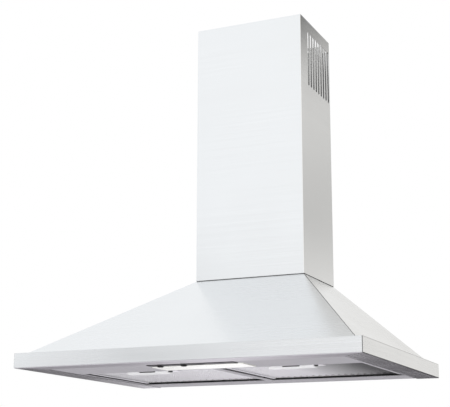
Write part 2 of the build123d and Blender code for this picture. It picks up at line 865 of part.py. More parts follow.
def lug_points():
    """Plan points across the shaft of the three lugs that join the casing's halves."""
    radii = [scroll_radius + i * scroll_step + lug_radius - scroll_wall / 2 for i in range(3)]
    return [turned(scroll_centres[i], radii[i], angle) for i, angle in enumerate(scroll_angles)]


def casing_half(side):
    """One half of the scroll casing: side is 1 on the right and -1 on the left."""
    half = extrude(shaft_plane * scroll_face(0), scroll_half)
    half -= extrude(shaft_plane * scroll_face(scroll_wall), scroll_half - scroll_wall)
    half -= rod_x(inlet_radius, (scroll_half - scroll_wall - over, scroll_half + over), shaft_y, shaft_z)
    lip_y = (outlet_front - outlet_lip, outlet_rear + outlet_lip)
    lip = block((0, scroll_half + outlet_lip), lip_y, (outlet_top - scroll_wall, outlet_top))
    mouth_y = (outlet_front + scroll_wall, outlet_rear - scroll_wall)
    half += lip - block((0, scroll_half - scroll_wall), mouth_y, (outlet_top - scroll_wall, outlet_top))
    half += block((scroll_half - scroll_wall / 2, wing_x), (outlet_front, outlet_rear), (wing_z, wing_top))
    for u, v in lug_points():
        half += rod_x(lug_radius, (0, lug_length), shaft_y + u, shaft_z + v)
    for u, v in lug_points():
        half -= rod_x(screw_radius + hole_fit, (-over, lug_length + over), shaft_y + u, shaft_z + v)
    for x, y in wing_holes():
        half -= rod_z(bolt_radius + hole_fit, abs(x), y, (wing_z - over, wing_top + over))
    lip_z = (outlet_top - scroll_wall - over, outlet_top + over)
    for x, y in adapter_holes():
        half -= rod_z(screw_radius + hole_fit, abs(x), y, lip_z)
    if side > 0:
        wall_x = (scroll_half - scroll_wall - over, scroll_half + over)
        for u, v in spider_holes(spider_grip_radius):
            half -= rod_x(screw_radius + hole_fit, wall_x, u, v)
        return half
    ring = rod_x(inlet_radius + scroll_wall, (scroll_half, scroll_half + inlet_lip), shaft_y, shaft_z)
    half += ring - rod_x(inlet_radius, (scroll_half, scroll_half + inlet_lip), shaft_y, shaft_z)
    return mirror(half, about=Plane.YZ)


def screw_along_x(x, head_x, y, z):
    """A pan-head screw along X from x to its head at head_x."""
    head = rod_x(screw_head_radius, (head_x, head_x + screw_head), y, z)
    return rod_x(screw_radius, (x, head_x), y, z) + head


def blower_screws():
    """The small screws of the casing's lugs, the motor's spider and the outlet adapter."""
    screws = [screw_along_x(-lug_length, lug_length, shaft_y + u, shaft_z + v) for u, v in lug_points()]
    head = motor_end + spider_sheet
    for radius, depth in ((spider_grip_radius, scroll_wall + over), (spider_fix, motor_end_plate - over)):
        screws += [screw_along_x(motor_end - depth, head, u, v) for u, v in spider_holes(radius)]
    for x, y in adapter_holes():
        shank = rod_z(screw_radius, x, y, (outlet_top - scroll_wall - over, adapter_bottom))
        screws.append(shank + rod_z(screw_head_radius, x, y, (adapter_bottom, adapter_bottom + screw_head)))
    return group(screws)


def blower_pads():
    """Rubber pads between the blower's wings and the deck."""
    pads = []
    for x, y in wing_holes():
        pad = rod_z(pad_radius, x, y, (deck_top, wing_z))
        pads.append(pad - rod_z(bolt_radius + hole_fit, x, y, (deck_top - over, wing_z + over)))
    return group(pads)


def blower_bolts():
    """Bolts that hold the blower down on its pads."""
    bolts = []
    for x, y in wing_holes():
        shank = rod_z(bolt_radius, x, y, (deck_z - bolt_tail, wing_top))
        bolts.append(shank + rod_z(bolt_head_radius, x, y, (wing_top, wing_top + bolt_head)))
    return group(bolts)


def impeller_hub():
    """The disc in the middle of the impeller, and the hub that holds it on the shaft."""
    disc = extrude(shaft_plane * Circle(impeller_radius), impeller_disc / 2, both=True)
    hub = rod_x(hub_radius, pair(hub_reach), shaft_y, shaft_z)
    return disc + hub - rod_x(shaft_radius + press_fit, pair(hub_reach + over), shaft_y, shaft_z)


def impeller_blades():
    """Flat blades that lean forward, on both sides of the disc."""
    inner = impeller_radius - blade_depth + blade_inset
    outer = impeller_radius - blade_inset
    tip = turned((0, 0), outer, blade_sweep)
    root = turned((0, 0), inner, 0)
    run = sqrt((tip[0] - root[0]) ** 2 + (tip[1] - root[1]) ** 2)
    across = ((root[1] - tip[1]) / run * blade_sheet, (tip[0] - root[0]) / run * blade_sheet)
    back = [(u + across[0], v + across[1]) for u, v in (tip, root)]
    face = polygon([root, tip] + back)
    length = impeller_half - ring_sheet - impeller_disc / 2
    blades = []
    for i in range(blade_count):
        blade = extrude(shaft_plane * Rot(0, 0, i * 360 / blade_count) * face, length)
        blades += [Pos(impeller_disc / 2, 0, 0) * blade, Pos(-impeller_disc / 2 - length, 0, 0) * blade]
    return group(blades)


def impeller_rings():
    """The two rings at the ends of the blades."""
    outline = Circle(impeller_radius) - Circle(impeller_radius - blade_depth)
    ring = extrude(shaft_plane * outline, ring_sheet)
    return group([Pos(impeller_half - ring_sheet, 0, 0) * ring, Pos(-impeller_half, 0, 0) * ring])


def motor_shaft():
    """The shaft, from the nut on the impeller to the far bearing."""
    return rod_x(shaft_radius, (-hub_reach - nut_height - over, motor_end), shaft_y, shaft_z)


def impeller_nut():
    """The nut that keeps the impeller on its shaft."""
    hexagon = shaft_plane * RegularPolygon(nut_width / 2, 6, major_radius=False)
    nut = Pos(-hub_reach - nut_height, 0, 0) * extrude(hexagon, nut_height)
    return nut - rod_x(shaft_radius + press_fit, (-hub_reach - nut_height - over, over), shaft_y, shaft_z)


def motor_can():
    """The motor's casing, with an end plate for each bearing."""
    can = rod_x(motor_radius, (motor_start, motor_end), shaft_y, shaft_z)
    room = (motor_start + motor_end_plate, motor_end - motor_end_plate)
    can -= rod_x(motor_radius - motor_wall, room, shaft_y, shaft_z)
    can -= rod_x(bearing_radius + press_fit, (motor_start - over, motor_end + over), shaft_y, shaft_z)
    for u, v in spider_holes(spider_fix):
        can -= rod_x(screw_radius + hole_fit, (motor_end - motor_end_plate, motor_end + over), u, v)
    return can


def motor_core(inner, outer):
    """A ring of the motor's laminations, between two radii."""
    return rod_x(outer, core_ends, shaft_y, shaft_z) - rod_x(inner, core_ends, shaft_y, shaft_z)


def motor_bearings():
    """The two plain bearings of the shaft."""
    bearings = []
    for start in (motor_start, motor_end - motor_end_plate):
        ends = (start, start + motor_end_plate)
        bush = rod_x(bearing_radius, ends, shaft_y, shaft_z)
        bearings.append(bush - rod_x(shaft_radius + pin_fit, ends, shaft_y, shaft_z))
    return group(bearings)


def spider_holes(radius):
    """Where screws pass along X through the spider's arms, on a circle of this radius."""
    points = [turned((0, 0), radius, angle) for angle in spider_angles]
    return [(shaft_y + u, shaft_z + v) for u, v in points]


def motor_spider():
    """The three-armed plate that carries the motor in the right inlet."""
    outline = Circle(spider_hub)
    for angle in spider_angles:
        outline += Rot(0, 0, angle) * Pos(spider_reach / 2, 0) * Rectangle(spider_reach, spider_arm)
    plate = Pos(motor_end, 0, 0) * extrude(shaft_plane * (outline - Circle(spider_eye)), spider_sheet)
    for radius in (spider_grip_radius, spider_fix):
        for u, v in spider_holes(radius):
            plate -= rod_x(screw_radius + hole_fit, (motor_end - over, motor_end + spider_sheet + over), u, v)
    return plate


# Outlet collar and flaps

def adapter_holes():
    """Plan points of the screws that hold the outlet adapter to the casing."""
    x = scroll_half + outlet_lip / 2
    y_middle = (outlet_front + outlet_rear) / 2
    y_reach = (outlet_rear - outlet_front) / 4
    return [(side * x, y_middle + step * y_reach) for side in (-1, 1) for step in (-1, 1)]


def outlet_adapter():
    """The moulding that leads the square outlet into a round collar, with a ledge for the flaps."""
    lip_y = (outlet_front - outlet_lip, outlet_rear + outlet_lip)
    plate = block(pair(scroll_half + outlet_lip), lip_y, (outlet_top, adapter_bottom))
    depth = outlet_rear - outlet_front
    outlet_y = (outlet_front + outlet_rear) / 2

    def passage(skin, z_low, z_high):
        low = Pos(0, outlet_y, z_low) * Rectangle(2 * (scroll_half - skin), depth - 2 * skin)
        high = Pos(0, spigot_y, z_high) * Circle(spigot_radius - skin)
        return loft([low, high])

    outside = passage(0, adapter_bottom, spigot_bottom)
    inside = passage(spigot_wall, adapter_bottom, spigot_bottom)
    mouth_y = (outlet_front + spigot_wall, outlet_rear - spigot_wall)
    mouth = block(pair(scroll_half - spigot_wall), mouth_y, (outlet_top - over, adapter_bottom))
    collar = rod_z(spigot_radius, 0, spigot_y, (spigot_bottom, spigot_top))
    bore = rod_z(spigot_radius - spigot_wall, 0, spigot_y, (spigot_bottom, spigot_top))
    ledge_top = flap_z - flap_sheet / 2 - fit
    ledge_z = (ledge_top - ledge_sheet, ledge_top)
    ledge = rod_z(spigot_radius - spigot_wall / 2, 0, spigot_y, ledge_z)
    ledge -= rod_z(spigot_radius - spigot_wall - ledge_width, 0, spigot_y, ledge_z)
    adapter = (plate - mouth) + (outside - inside) + (collar - bore) + ledge
    rod_reach = spigot_radius - spigot_wall / 4
    adapter -= rod_x(flap_rod_radius + pin_fit, pair(rod_reach), spigot_y, flap_z)
    for x, y in adapter_holes():
        adapter -= rod_z(screw_radius + hole_fit, x, y, (outlet_top - over, adapter_bottom + over))
    return adapter


def flap_rod():
    """The rod across the collar that both flaps hang on."""
    return rod_x(flap_rod_radius, pair(spigot_radius - spigot_wall / 2), spigot_y, flap_z)


def flap(side):
    """A half-round flap, side -1 at the front and 1 at the rear; its knuckles leave room for the other's."""
    knuckle = flap_rod_radius + pin_fit + knuckle_wall
    edge = knuckle + fit
    reach = spigot_radius - spigot_wall - flap_gap
    half_disc = Circle(reach) & Pos(0, side * (edge + reach / 2)) * Rectangle(2 * reach, reach)
    plate = Pos(0, spigot_y, flap_z - flap_sheet / 2) * extrude(half_disc, flap_sheet)
    for i in range(-2, 2):
        if i % 2 == (0 if side < 0 else 1):
            ends = (i * knuckle_span + fit, (i + 1) * knuckle_span - fit)
            tab_y = (spigot_y, spigot_y + side * (edge + over))
            plate += block(ends, tab_y, (flap_z - flap_sheet / 2, flap_z + flap_sheet / 2))
            plate += rod_x(knuckle, ends, spigot_y, flap_z)
    return plate - rod_x(flap_rod_radius + pin_fit, pair(spigot_radius), spigot_y, flap_z)


# Electrical pieces that stand on the blower's wings

def capacitor():
    """The run capacitor, upright on the left wing."""
    return rod_z(capacitor_radius, -bench_x, wing_mid_y, (wing_top, wing_top + capacitor_length))


def capacitor_clip():
    """The ring that holds the capacitor to the wing."""
    z = (wing_top, wing_top + clip_height)
    inner = capacitor_radius + pin_fit
    return rod_z(inner + clip_wall, -bench_x, wing_mid_y, z) - rod_z(inner, -bench_x, wing_mid_y, z)


def terminal_box():
    """The open box on the right wing where the hood's wires are joined."""
    x = (bench_x - box_width / 2, bench_x + box_width / 2)
    y = (wing_mid_y - box_depth / 2, wing_mid_y + box_depth / 2)
    box = block(x, y, (wing_top, wing_top + box_height))
    wall = box_wall
    room_z = (wing_top + wall, wing_top + box_height + over)
    return box - block((x[0] + wall, x[1] - wall), (y[0] + wall, y[1] - wall), room_z)


def terminal_lid():
    """The lid of the terminal box, with the hole for the cable gland."""
    z = (wing_top + box_height, wing_top + box_height + lid_sheet)
    x = (bench_x - box_width / 2, bench_x + box_width / 2)
    lid = block(x, (wing_mid_y - box_depth / 2, wing_mid_y + box_depth / 2), z)
    return lid - rod_z(gland_neck + hole_fit, bench_x, wing_mid_y, (z[0] - over, z[1] + over))


def cable_gland():
    """The gland on the lid, where the mains cable enters."""
    low = wing_top + box_height
    top = low + lid_sheet
    gland = rod_z(gland_neck, bench_x, wing_mid_y, (low, top))
    gland += rod_z(gland_radius, bench_x, wing_mid_y, (top, top + gland_height))
    return gland - rod_z(gland_bore, bench_x, wing_mid_y, (low - over, top + gland_height + over))


canopy_pieces = canopy_sheets()
pieces = {
    "canopy_front": canopy_pieces[0],
    "canopy_left": canopy_pieces[1],
    "canopy_right": canopy_pieces[2],
    "hip_strip_left": hip_strip(-1),
    "hip_strip_right": hip_strip(1),
    "rear_panel": rear_panel(),
    "underside_panel": underside_panel(),
    "panel_studs": panel_studs(),
    "panel_nuts": panel_nuts(),
    "chimney_cover": chimney_cover(),
    "chimney_sleeve": chimney_sleeve(),
    "chimney_bracket": chimney_bracket(),
    "light_diffuser": light_diffuser(),
    "light_tray": light_tray(),
    "lamp_holder": lamp_holder(),
    "lamp_cap": lamp_cap(),
    "lamp_glass": lamp_glass(),
    "switch_bezel": switch_bezel(),
    "switch_housing": switch_housing(),
    "switch_contacts": switch_contacts(),
    "light_slider": slider(light_knob_x),
    "speed_slider": slider(speed_knob_x),
    "blower_deck": deck(),
    "deck_rivets": deck_rivets(),
    "casing_left": casing_half(-1),
    "casing_right": casing_half(1),
    "blower_screws": blower_screws(),
    "blower_pads": blower_pads(),
    "blower_bolts": blower_bolts(),
    "impeller_hub": impeller_hub(),
    "impeller_blades": impeller_blades(),
    "impeller_rings": impeller_rings(),
    "impeller_nut": impeller_nut(),
    "motor_shaft": motor_shaft(),
    "motor_can": motor_can(),
    "motor_stator": motor_core(rotor_radius + air_gap, motor_radius - motor_wall - pin_fit),
    "motor_rotor": motor_core(shaft_radius + press_fit, rotor_radius),
    "motor_bearings": motor_bearings(),
    "motor_spider": motor_spider(),
    "outlet_adapter": outlet_adapter(),
    "flap_rod": flap_rod(),
    "flap_front": flap(-1),
    "flap_rear": flap(1),
    "capacitor": capacitor(),
    "capacitor_clip": capacitor_clip(),
    "terminal_box": terminal_box(),
    "terminal_lid": terminal_lid(),
    "cable_gland": cable_gland(),
}
filter_makers = {
    "frame": filter_frame,
    "mesh": filter_mesh,
    "core": filter_core,
    "latch": filter_latch,
    "spring": latch_spring,
    "keeper": filter_keeper,
}
for piece, make in filter_makers.items():
    shape = make()
    for side_name, side_x in (("left", -filter_x), ("right", filter_x)):
        pieces[f"filter_{piece}_{side_name}"] = Pos(side_x, 0, 0) * shape

# The origin is midway between the two wall holes, on the wall
os.makedirs("parts", exist_ok=True)
for name, shape in pieces.items():
    export_step(Pos(0, 0, -wall_hole_height) * shape, f"parts/{name}.step")
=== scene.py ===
import math

import bmesh
import bpy
from bpy.props import FloatProperty, FloatVectorProperty, IntProperty, PointerProperty
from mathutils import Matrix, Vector


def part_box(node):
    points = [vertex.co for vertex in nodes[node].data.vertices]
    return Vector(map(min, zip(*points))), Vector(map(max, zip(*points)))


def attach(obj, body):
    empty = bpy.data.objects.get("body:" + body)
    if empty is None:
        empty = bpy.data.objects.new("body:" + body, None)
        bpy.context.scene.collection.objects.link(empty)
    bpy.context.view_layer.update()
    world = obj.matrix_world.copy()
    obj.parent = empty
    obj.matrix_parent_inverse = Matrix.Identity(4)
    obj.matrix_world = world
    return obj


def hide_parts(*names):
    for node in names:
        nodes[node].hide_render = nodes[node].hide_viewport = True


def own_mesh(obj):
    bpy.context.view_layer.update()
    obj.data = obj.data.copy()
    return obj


bl_info = {
    "name": "Wall chimney range hood",
    "version": (1, 0, 0),
    "blender": (4, 5, 0),
    "location": "3D View > Sidebar > Hood",
    "description": "Dresses a wall-hung range hood: folded steel, mesh filters, lamp, switch and blower",
    "category": "Object",
}

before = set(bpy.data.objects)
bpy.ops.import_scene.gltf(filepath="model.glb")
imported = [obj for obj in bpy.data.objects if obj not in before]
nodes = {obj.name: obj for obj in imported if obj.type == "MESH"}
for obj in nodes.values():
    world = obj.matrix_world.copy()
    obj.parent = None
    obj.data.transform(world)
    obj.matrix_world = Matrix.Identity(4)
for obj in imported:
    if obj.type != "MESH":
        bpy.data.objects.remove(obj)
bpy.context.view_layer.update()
rim_low, rim_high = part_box("canopy_front")
chimney_low, chimney_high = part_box("chimney_cover")

half_width = rim_high.x
hood_depth = -rim_low.y
rim_bottom = rim_low.z
neck = rim_high.z
chimney_half = chimney_high.x
chimney_depth = -chimney_low.y

X, Y = 0, 1
sides = ("left", "right")

# Lengths in metres: the same place, corners to merge, how far a cutter passes a face, a cutter's depth
# through a small piece, a stem's room in its slot, and the depth of a surface's tooth
hair = 0.00005
weld = 0.00001
overcut = 0.001
through = 0.02
slot_play = 0.0005
tooth_depth = 0.0002

# Roundings of edges in metres, and how many of them a face may be wide and still be marked as an edge, for
# edge wear and for painted shade and highlight on folds
leaf_edge = 0.0001
fine_edge = 0.0002
thin_edge = 0.0003
moulded_edge = 0.0004
knob_edge = 0.0005
box_edge = 0.0006
cover_edge = 0.0007
wear_and_shade_edge_widths = 1.3

# Features to the metre along each axis: brushed across, inwards, and round the chimney
brushed_x = (4.0, 850.0, 850.0)
brushed_y = (850.0, 4.0, 850.0)
brushed_round = (4.0, 4.0, 850.0)


def length(name, description, default):
    """A length that a user may change, in metres."""
    return FloatProperty(name=name, description=description, default=default, unit="LENGTH", precision=5)


def fraction(name, description, default):
    """A fraction that a user may change."""
    return FloatProperty(name=name, description=description, default=default, subtype="FACTOR",
                         min=0.0, max=1.0)


def number(name, description, default):
    """A number of features that a user may change."""
    return IntProperty(name=name, description=description, default=default, min=1)


def colour(name, description, default):
    """A colour that a user may change."""
    return FloatVectorProperty(name=name, description=description, default=default, subtype="COLOR", size=3,
                               min=0.0, max=1.0)


class HoodSizes(bpy.types.PropertyGroup):
    """Sizes of the folded sheets, vents, nets, handles, lamp cover and switch."""

    rim_height: length("Rim height", "Height of the upright rim", 0.025)
    rim_ledge: length("Rim ledge", "Step between the rim and the slope", 0.014)
    flange: length("Return flange", "Width of the flange under the rim", 0.040)
    sheet: length("Sheet", "Thickness of the steel sheet", 0.0008)
    bend: length("Bend", "How far a fold's rounding reaches", 0.0011)
    seam: length("Seam", "Half the gap where two sheets meet", 0.0009)
    lip: length("Chimney lip", "Width of the chimney's rear return", 0.014)
    bracket_room: length("Bracket room", "Height of the wall bracket's notch", 0.0155)
    vent_count: number("Vents", "Vent slots on each side of the chimney", 9)
    vent_width: length("Vent width", "Width of one vent slot", 0.007)
    vent_length: length("Vent length", "Length of one vent slot", 0.107)
    vent_pitch: length("Vent pitch", "Distance from one vent to the next", 0.0139)
    vent_back: length("Vent margin", "From the wall to the first vent's middle", 0.010)
    vent_top: length("Vent drop", "From the chimney's top to the vents", 0.022)
    net_columns: number("Net columns", "Diamonds across a filter", 56)
    net_rows: number("Net rows", "Diamonds from front to back of a filter", 28)
    strand: length("Strand", "Thickness of the net's strands", 0.0014)
    strand_flat: fraction("Strand flatness", "Thickness of a strand for its width", 0.15)
    # The soot reach sets how far painted shade runs along each filter frame's rear.
    soot_and_shade: length("Soot", "Reach of soot from a net's rear edge", 0.006)
    grip_width: length("Grip width", "Width of a filter's handle", 0.080)
    grip_depth: length("Grip depth", "Depth of a filter's handle", 0.020)
    grip_corner: length("Grip corner", "Rounding of a handle's corners", 0.003)
    finger_width: length("Finger hole width", "Width of the hole through a handle", 0.026)
    finger_depth: length("Finger hole depth", "Depth of the hole through a handle", 0.009)
    mouth_half: length("Mouth", "Half the width of a handle's slit", 0.015)
    sill: length("Mouth sill", "From the handle's underside up to the slit", 0.0018)
    # The slit's black insert is painted shade in the handle's mouth.
    recess: length("Mouth recess", "How deep the slit's black insert lies", 0.0012)
    latch_plate: length("Latch plate", "Thickness of the plate inside the filter", 0.002)
    latch_step: length("Latch step", "From the latch's top down to its grip", 0.0034)
    latch_travel: length("Latch travel", "How far a latch is drawn back", 0.007)
    neck_half: length("Latch neck", "Half the neck's width above the grip", 0.036)
    neck_inset: length("Neck inset", "From the grip's edges in to the neck", 0.002)
    bolt_half: length("Bolt", "Half the width of the latch's bolt", 0.008)
    catch_root: length("Catch root", "Reach of the end catch into the grip", 0.002)
    catch_reach: length("Catch reach", "Reach of the end catch out of the grip", 0.0035)
    catch_lap: length("Catch lap", "Lap of the end catch into the plate", 0.0005)
    leaf_slack: fraction("Leaf slack", "Share of its depth left by a drawn leaf", 0.01)
    stem: length("Slider stem", "Width of a slider's stem", 0.005)
    light_travel: length("Light travel", "How far the light's slider goes", 0.012)
    speed_travel: length("Speed travel", "How far the speed slider goes", 0.036)
    knob_half: length("Knob", "Half the width of a slider's knob", 0.004)
    knob_drop: length("Knob height", "Height of a slider's knob", 0.0019)
    rib: length("Rib", "Width and height of the knob's ribs", 0.0006)
    rib_pitch: length("Rib pitch", "Distance from one rib to the next", 0.0016)
    rib_count: number("Ribs", "Ribs on each knob", 4)
    head_sheet: length("Slider head", "Thickness of a slider's head", 0.003)
    bezel_lip: length("Bezel lip", "Lap of the switch's face over the panel", 0.003)
    bezel_sheet: length("Bezel face", "Thickness of the switch's face", 0.0016)
    cover_wall: length("Cover wall", "Wall of the lamp cover", 0.0016)
    cover_sheet: length("Cover face", "Thickness of the lamp cover's face", 0.002)
    pin_radius: length("Hinge pin", "Radius of the lamp cover's hinge pins", 0.0014)
    pin_reach: length("Pin reach", "How far a hinge pin stands out", 0.0032)
    pin_inset: length("Pin inset", "From the cover's rear edge to its hinge pins", 0.0022)
    pin_rise: length("Pin rise", "From the cover's face up to its hinge pins", 0.0043)


class HoodFinish(bpy.types.PropertyGroup):
    """Colours of the finishes, and of painted shade."""

    steel: colour("Steel", "Brushed stainless sheet", (0.87, 0.88, 0.89))
    # The satin colour is the underside panel's own grey, and on the front flange painted shade.
    satin_and_shade: colour("Satin steel", "Steel of the panel and the front flange", (0.425, 0.415, 0.44))
    # The inner steel is dark: partly the sheets' dull unpolished back, partly painted shade inside the hood.
    inner: colour("Inner steel", "Unpolished inner side of the sheets", (0.20, 0.20, 0.205))
    zinc: colour("Zinc", "Galvanised inner sheet", (0.52, 0.54, 0.55))
    alloy: colour("Alloy", "Aluminium of the filters", (0.91, 0.90, 0.93))
    # The soot colour is the dark end of painted shade, on the bracket's foot and the nets' outer ends.
    soot_and_shade: colour("Soot", "Grease and soot on plates and nets", (0.03, 0.03, 0.03))
    black: colour("Black", "Black moulded plastic", (0.012, 0.012, 0.013))
    grey: colour("Grey", "Dark grey blower plastic", (0.07, 0.072, 0.076))
    handle: colour("Handle", "Pale plastic of the filter handles", (0.86, 0.86, 0.87))
    opal: colour("Opal", "Opal lamp cover", (0.76, 0.76, 0.72))


class HoodStage(bpy.types.PropertyGroup):
    """Camera, lamps and floor."""

    camera_place: FloatVectorProperty(name="Camera", description="Where the camera stands", size=3,
                                      subtype="TRANSLATION", default=(0.79146, -2.02234, -0.29387))
    camera_turn: FloatVectorProperty(name="Camera turn", description="How the camera is turned", size=3,
                                     subtype="EULER", default=(math.pi / 2 + 0.241, -0.002, 0.4233))
    lens: FloatProperty(name="Lens", description="Focal length in millimetres", default=90.78, unit="CAMERA")
    floor_drop: length("Floor", "How far below the rim the floor lies", 1.55)
    floor_size: length("Floor size", "Length of the floor's sides", 9.0)
    fill: fraction("Fill", "Strength of the even light from all round", 0.62)
    key: FloatProperty(name="Key", description="Power of the front lamp", default=38.0, unit="POWER")
    low: FloatProperty(name="Low", description="Power of the low front lamp", default=26.0, unit="POWER")


# Modelling

def fresh():
    """Leaves edit mode and selects nothing."""
    if bpy.context.mode != "OBJECT":
        bpy.ops.object.mode_set(mode="OBJECT")
    bpy.ops.object.select_all(action="DESELECT")


def take(piece):
    """Makes this the one selected object."""
    fresh()
    bpy.context.view_layer.objects.active = piece
    piece.select_set(True)


def edit(piece):
    """Opens the piece in edit mode with all of it selected."""
    take(piece)
    bpy.ops.object.mode_set(mode="EDIT")
    bpy.ops.mesh.select_all(action="SELECT")


def settle(piece):
    """Puts the piece's place into its mesh, with its object at the origin."""
    take(piece)
    bpy.ops.object.transform_apply(location=True, rotation=True, scale=True)


def added(name, scale=(1, 1, 1)):
    """Names and sizes the primitive that was added last."""
    piece = bpy.context.active_object
    piece.name = name
    piece.scale = scale
    settle(piece)
    return piece


def pick(piece, kind, test):
    """Selects the vertices, edges or faces whose middle passes the test."""
    bpy.ops.mesh.select_mode(type=kind)
    bpy.ops.mesh.select_all(action="DESELECT")
    drawn = bmesh.from_edit_mesh(piece.data)
    for part in {"VERT": drawn.verts, "EDGE": drawn.edges, "FACE": drawn.faces}[kind]:
        corners = [part.co] if kind == "VERT" else [corner.co for corner in part.verts]
        part.select_set(test(sum(corners, Vector()) / len(corners)))
    drawn.select_flush_mode()
    bmesh.update_edit_mesh(piece.data)


def near(a, b, reach=hair):
    """Whether two lengths are the same, within a hair."""
    return abs(a - b) < reach


def pull(step):
    """Extrudes the selected edges by this step."""
    bpy.ops.mesh.extrude_edges_move(TRANSFORM_OT_translate={"value": step})


def bend(offset, segments=3):
    """Rounds the selected edges."""
    bpy.ops.mesh.bevel(offset=offset, segments=segments, affect="EDGES")


def step_top(piece, top, margin, step):
    """Insets the face at this height by a margin and moves it up or down by a step."""
    edit(piece)
    pick(piece, "FACE", lambda co: near(co.z, top))
    bpy.ops.mesh.inset(thickness=margin)
    bpy.ops.mesh.extrude_region_move(TRANSFORM_OT_translate={"value": (0, 0, step)})
    fresh()


def apply(piece, kind, **settings):
    """Adds a modifier and applies it."""
    take(piece)
    modifier = piece.modifiers.new(kind.title(), kind)
    for name, value in settings.items():
        setattr(modifier, name, value)
    bpy.ops.object.modifier_apply(modifier=modifier.name)


def soften(piece):
    """Shades the rounded folds smooth and keeps the broad faces flat."""
    take(piece)
    bpy.ops.object.shade_smooth_by_angle(angle=math.radians(50))
    apply(piece, "WEIGHTED_NORMAL", keep_sharp=True, weight=100)


def round_edges(piece, width, segments=2):
    """Rounds the piece's sharp edges."""
    apply(piece, "BEVEL", width=width, segments=segments, limit_method="ANGLE", angle_limit=math.radians(40))
    soften(piece)


def cut(piece, cutter):
    """Takes the cutter's shape out of the piece."""
    apply(piece, "BOOLEAN", operation="DIFFERENCE", solver="EXACT", object=cutter)
    bpy.data.objects.remove(cutter)


def between_corners(low, high):
    """The middle of two corners, and the size between them."""
    return [(a + b) / 2 for a, b in zip(low, high)], [b - a for a, b in zip(low, high)]


def block(name, low, high):
    """A box between two corners."""
    fresh()
    middle, size = between_corners(low, high)
    bpy.ops.mesh.primitive_cube_add(size=1, location=middle)
    return added(name, size)


def rounded_block(name, low, high, edge):
    """A box with rounded edges."""
    piece = block(name, low, high)
    round_edges(piece, edge)
    return piece


def long_hole(middle, span, width, depth, turn=(0, 0, 0)):
    """A round-ended cutter, long along X and deep along Z before it is turned."""
    fresh()
    bpy.ops.mesh.primitive_cylinder_add(vertices=24, radius=width / 2, depth=depth)
    piece = added("hole")
    edit(piece)
    for side in (-1, 1):
        pick(piece, "VERT", lambda co: co.x * side > weld)
        bpy.ops.transform.translate(value=(side * (span - width) / 2, 0, 0))
    fresh()
    piece.rotation_euler = turn
    piece.location = middle
    settle(piece)
    return piece


def pin_x(radius, start, end, y, z):
    """A round pin along X with rounded ends."""
    fresh()
    bpy.ops.mesh.primitive_cylinder_add(vertices=24, radius=radius, depth=abs(end - start),
                                        location=((start + end) / 2, y, z), rotation=(0, math.pi / 2, 0))
    piece = added("pin")
    round_edges(piece, radius / 4)
    return piece


def join(pieces):
    """Joins the pieces into the first of them."""
    fresh()
    for piece in pieces:
        piece.select_set(True)
    bpy.context.view_layer.objects.active = pieces[0]
    bpy.ops.object.join()
    return pieces[0]


def mark_edges_for_wear_and_shade(piece, edge):
    """Marks the piece's narrow faces, its rounded folds and edges, for edge wear and for the painted shade
    and highlight that some metals put on folds.
    """
    edge_wear_and_shade = piece.data.attributes.new("edge_wear_and_shade", "FLOAT", "FACE")
    for face, mark in zip(piece.data.polygons, edge_wear_and_shade.data):
        corners = [piece.data.vertices[i].co for i in face.vertices]
        longest = max((corners[i] - corners[i - 1]).length for i in range(len(corners)))
        mark.value = 1.0 if face.area / longest < wear_and_shade_edge_widths * edge else 0.0


def fit_out(piece, materials, body, node):
    """Gives a finished piece its materials and its body, and hides the node it stands for."""
    for material in materials:
        if material.name not in piece.data.materials:
            piece.data.materials.append(material)
    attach(piece, body)
    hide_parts(node)


def rounded_node(node, edge, materials, body):
    """Puts a copy with clean faces and rounded edges in a carried-over node's place."""
    source = nodes[node]
    piece = source.copy()
    piece.data = source.data.copy()
    piece.name = node + "_rounded"
    piece.parent = None
    piece.data.materials.clear()
    bpy.context.scene.collection.objects.link(piece)
    edit(piece)
    bpy.ops.mesh.remove_doubles(threshold=weld)
    bpy.ops.mesh.dissolve_limited(angle_limit=math.radians(1))
    bpy.ops.mesh.normals_make_consistent(inside=False)
    fresh()
    round_edges(piece, edge)
    mark_edges_for_wear_and_shade(piece, edge)
    fit_out(piece, materials, body, node)
    return piece


def paint(material, *names):
    """Gives carried-over nodes a material."""
    for name in names:
        nodes[name].data.materials.clear()
        nodes[name].data.materials.append(material)


# Materials

def add(tree, kind, **settings):
    """A new shading node."""
    node = tree.nodes.new("ShaderNode" + kind)
    for name, value in settings.items():
        setattr(node, name, value)
    return node


def feed(node, name, value):
    """Links an output to a node's input, or sets the input to a constant."""
    socket = node.inputs[name]
    if isinstance(value, bpy.types.NodeSocket):
        node.id_data.links.new(value, socket)
    elif socket.type == "RGBA":
        socket.default_value = (*value, 1.0)
    else:
        socket.default_value = value


def new_material(name):
    """An empty material with one shader."""
    material = bpy.data.materials.new(name)
    material.use_nodes = True
    tree = material.node_tree
    tree.nodes.clear()
    shader = add(tree, "BsdfPrincipled", name="finish")
    feed(add(tree, "OutputMaterial"), "Surface", shader.outputs["BSDF"])
    return material, tree, shader


def coat(shader, tint, roughness, metallic=0.0):
    """Gives a shader its colour, its roughness and its share of metal."""
    feed(shader, "Base Color", tint)
    feed(shader, "Roughness", roughness)
    feed(shader, "Metallic", metallic)


def own_place(tree):
    """The piece's own coordinates."""
    return add(tree, "TexCoord").outputs["Object"]


def parts_of(vector):
    """The X, Y and Z of a vector."""
    parts = add(vector.id_data, "SeparateXYZ")
    feed(parts, "Vector", vector)
    return parts.outputs


def even(count):
    """The same number of features along each axis."""
    return (count, count, count)


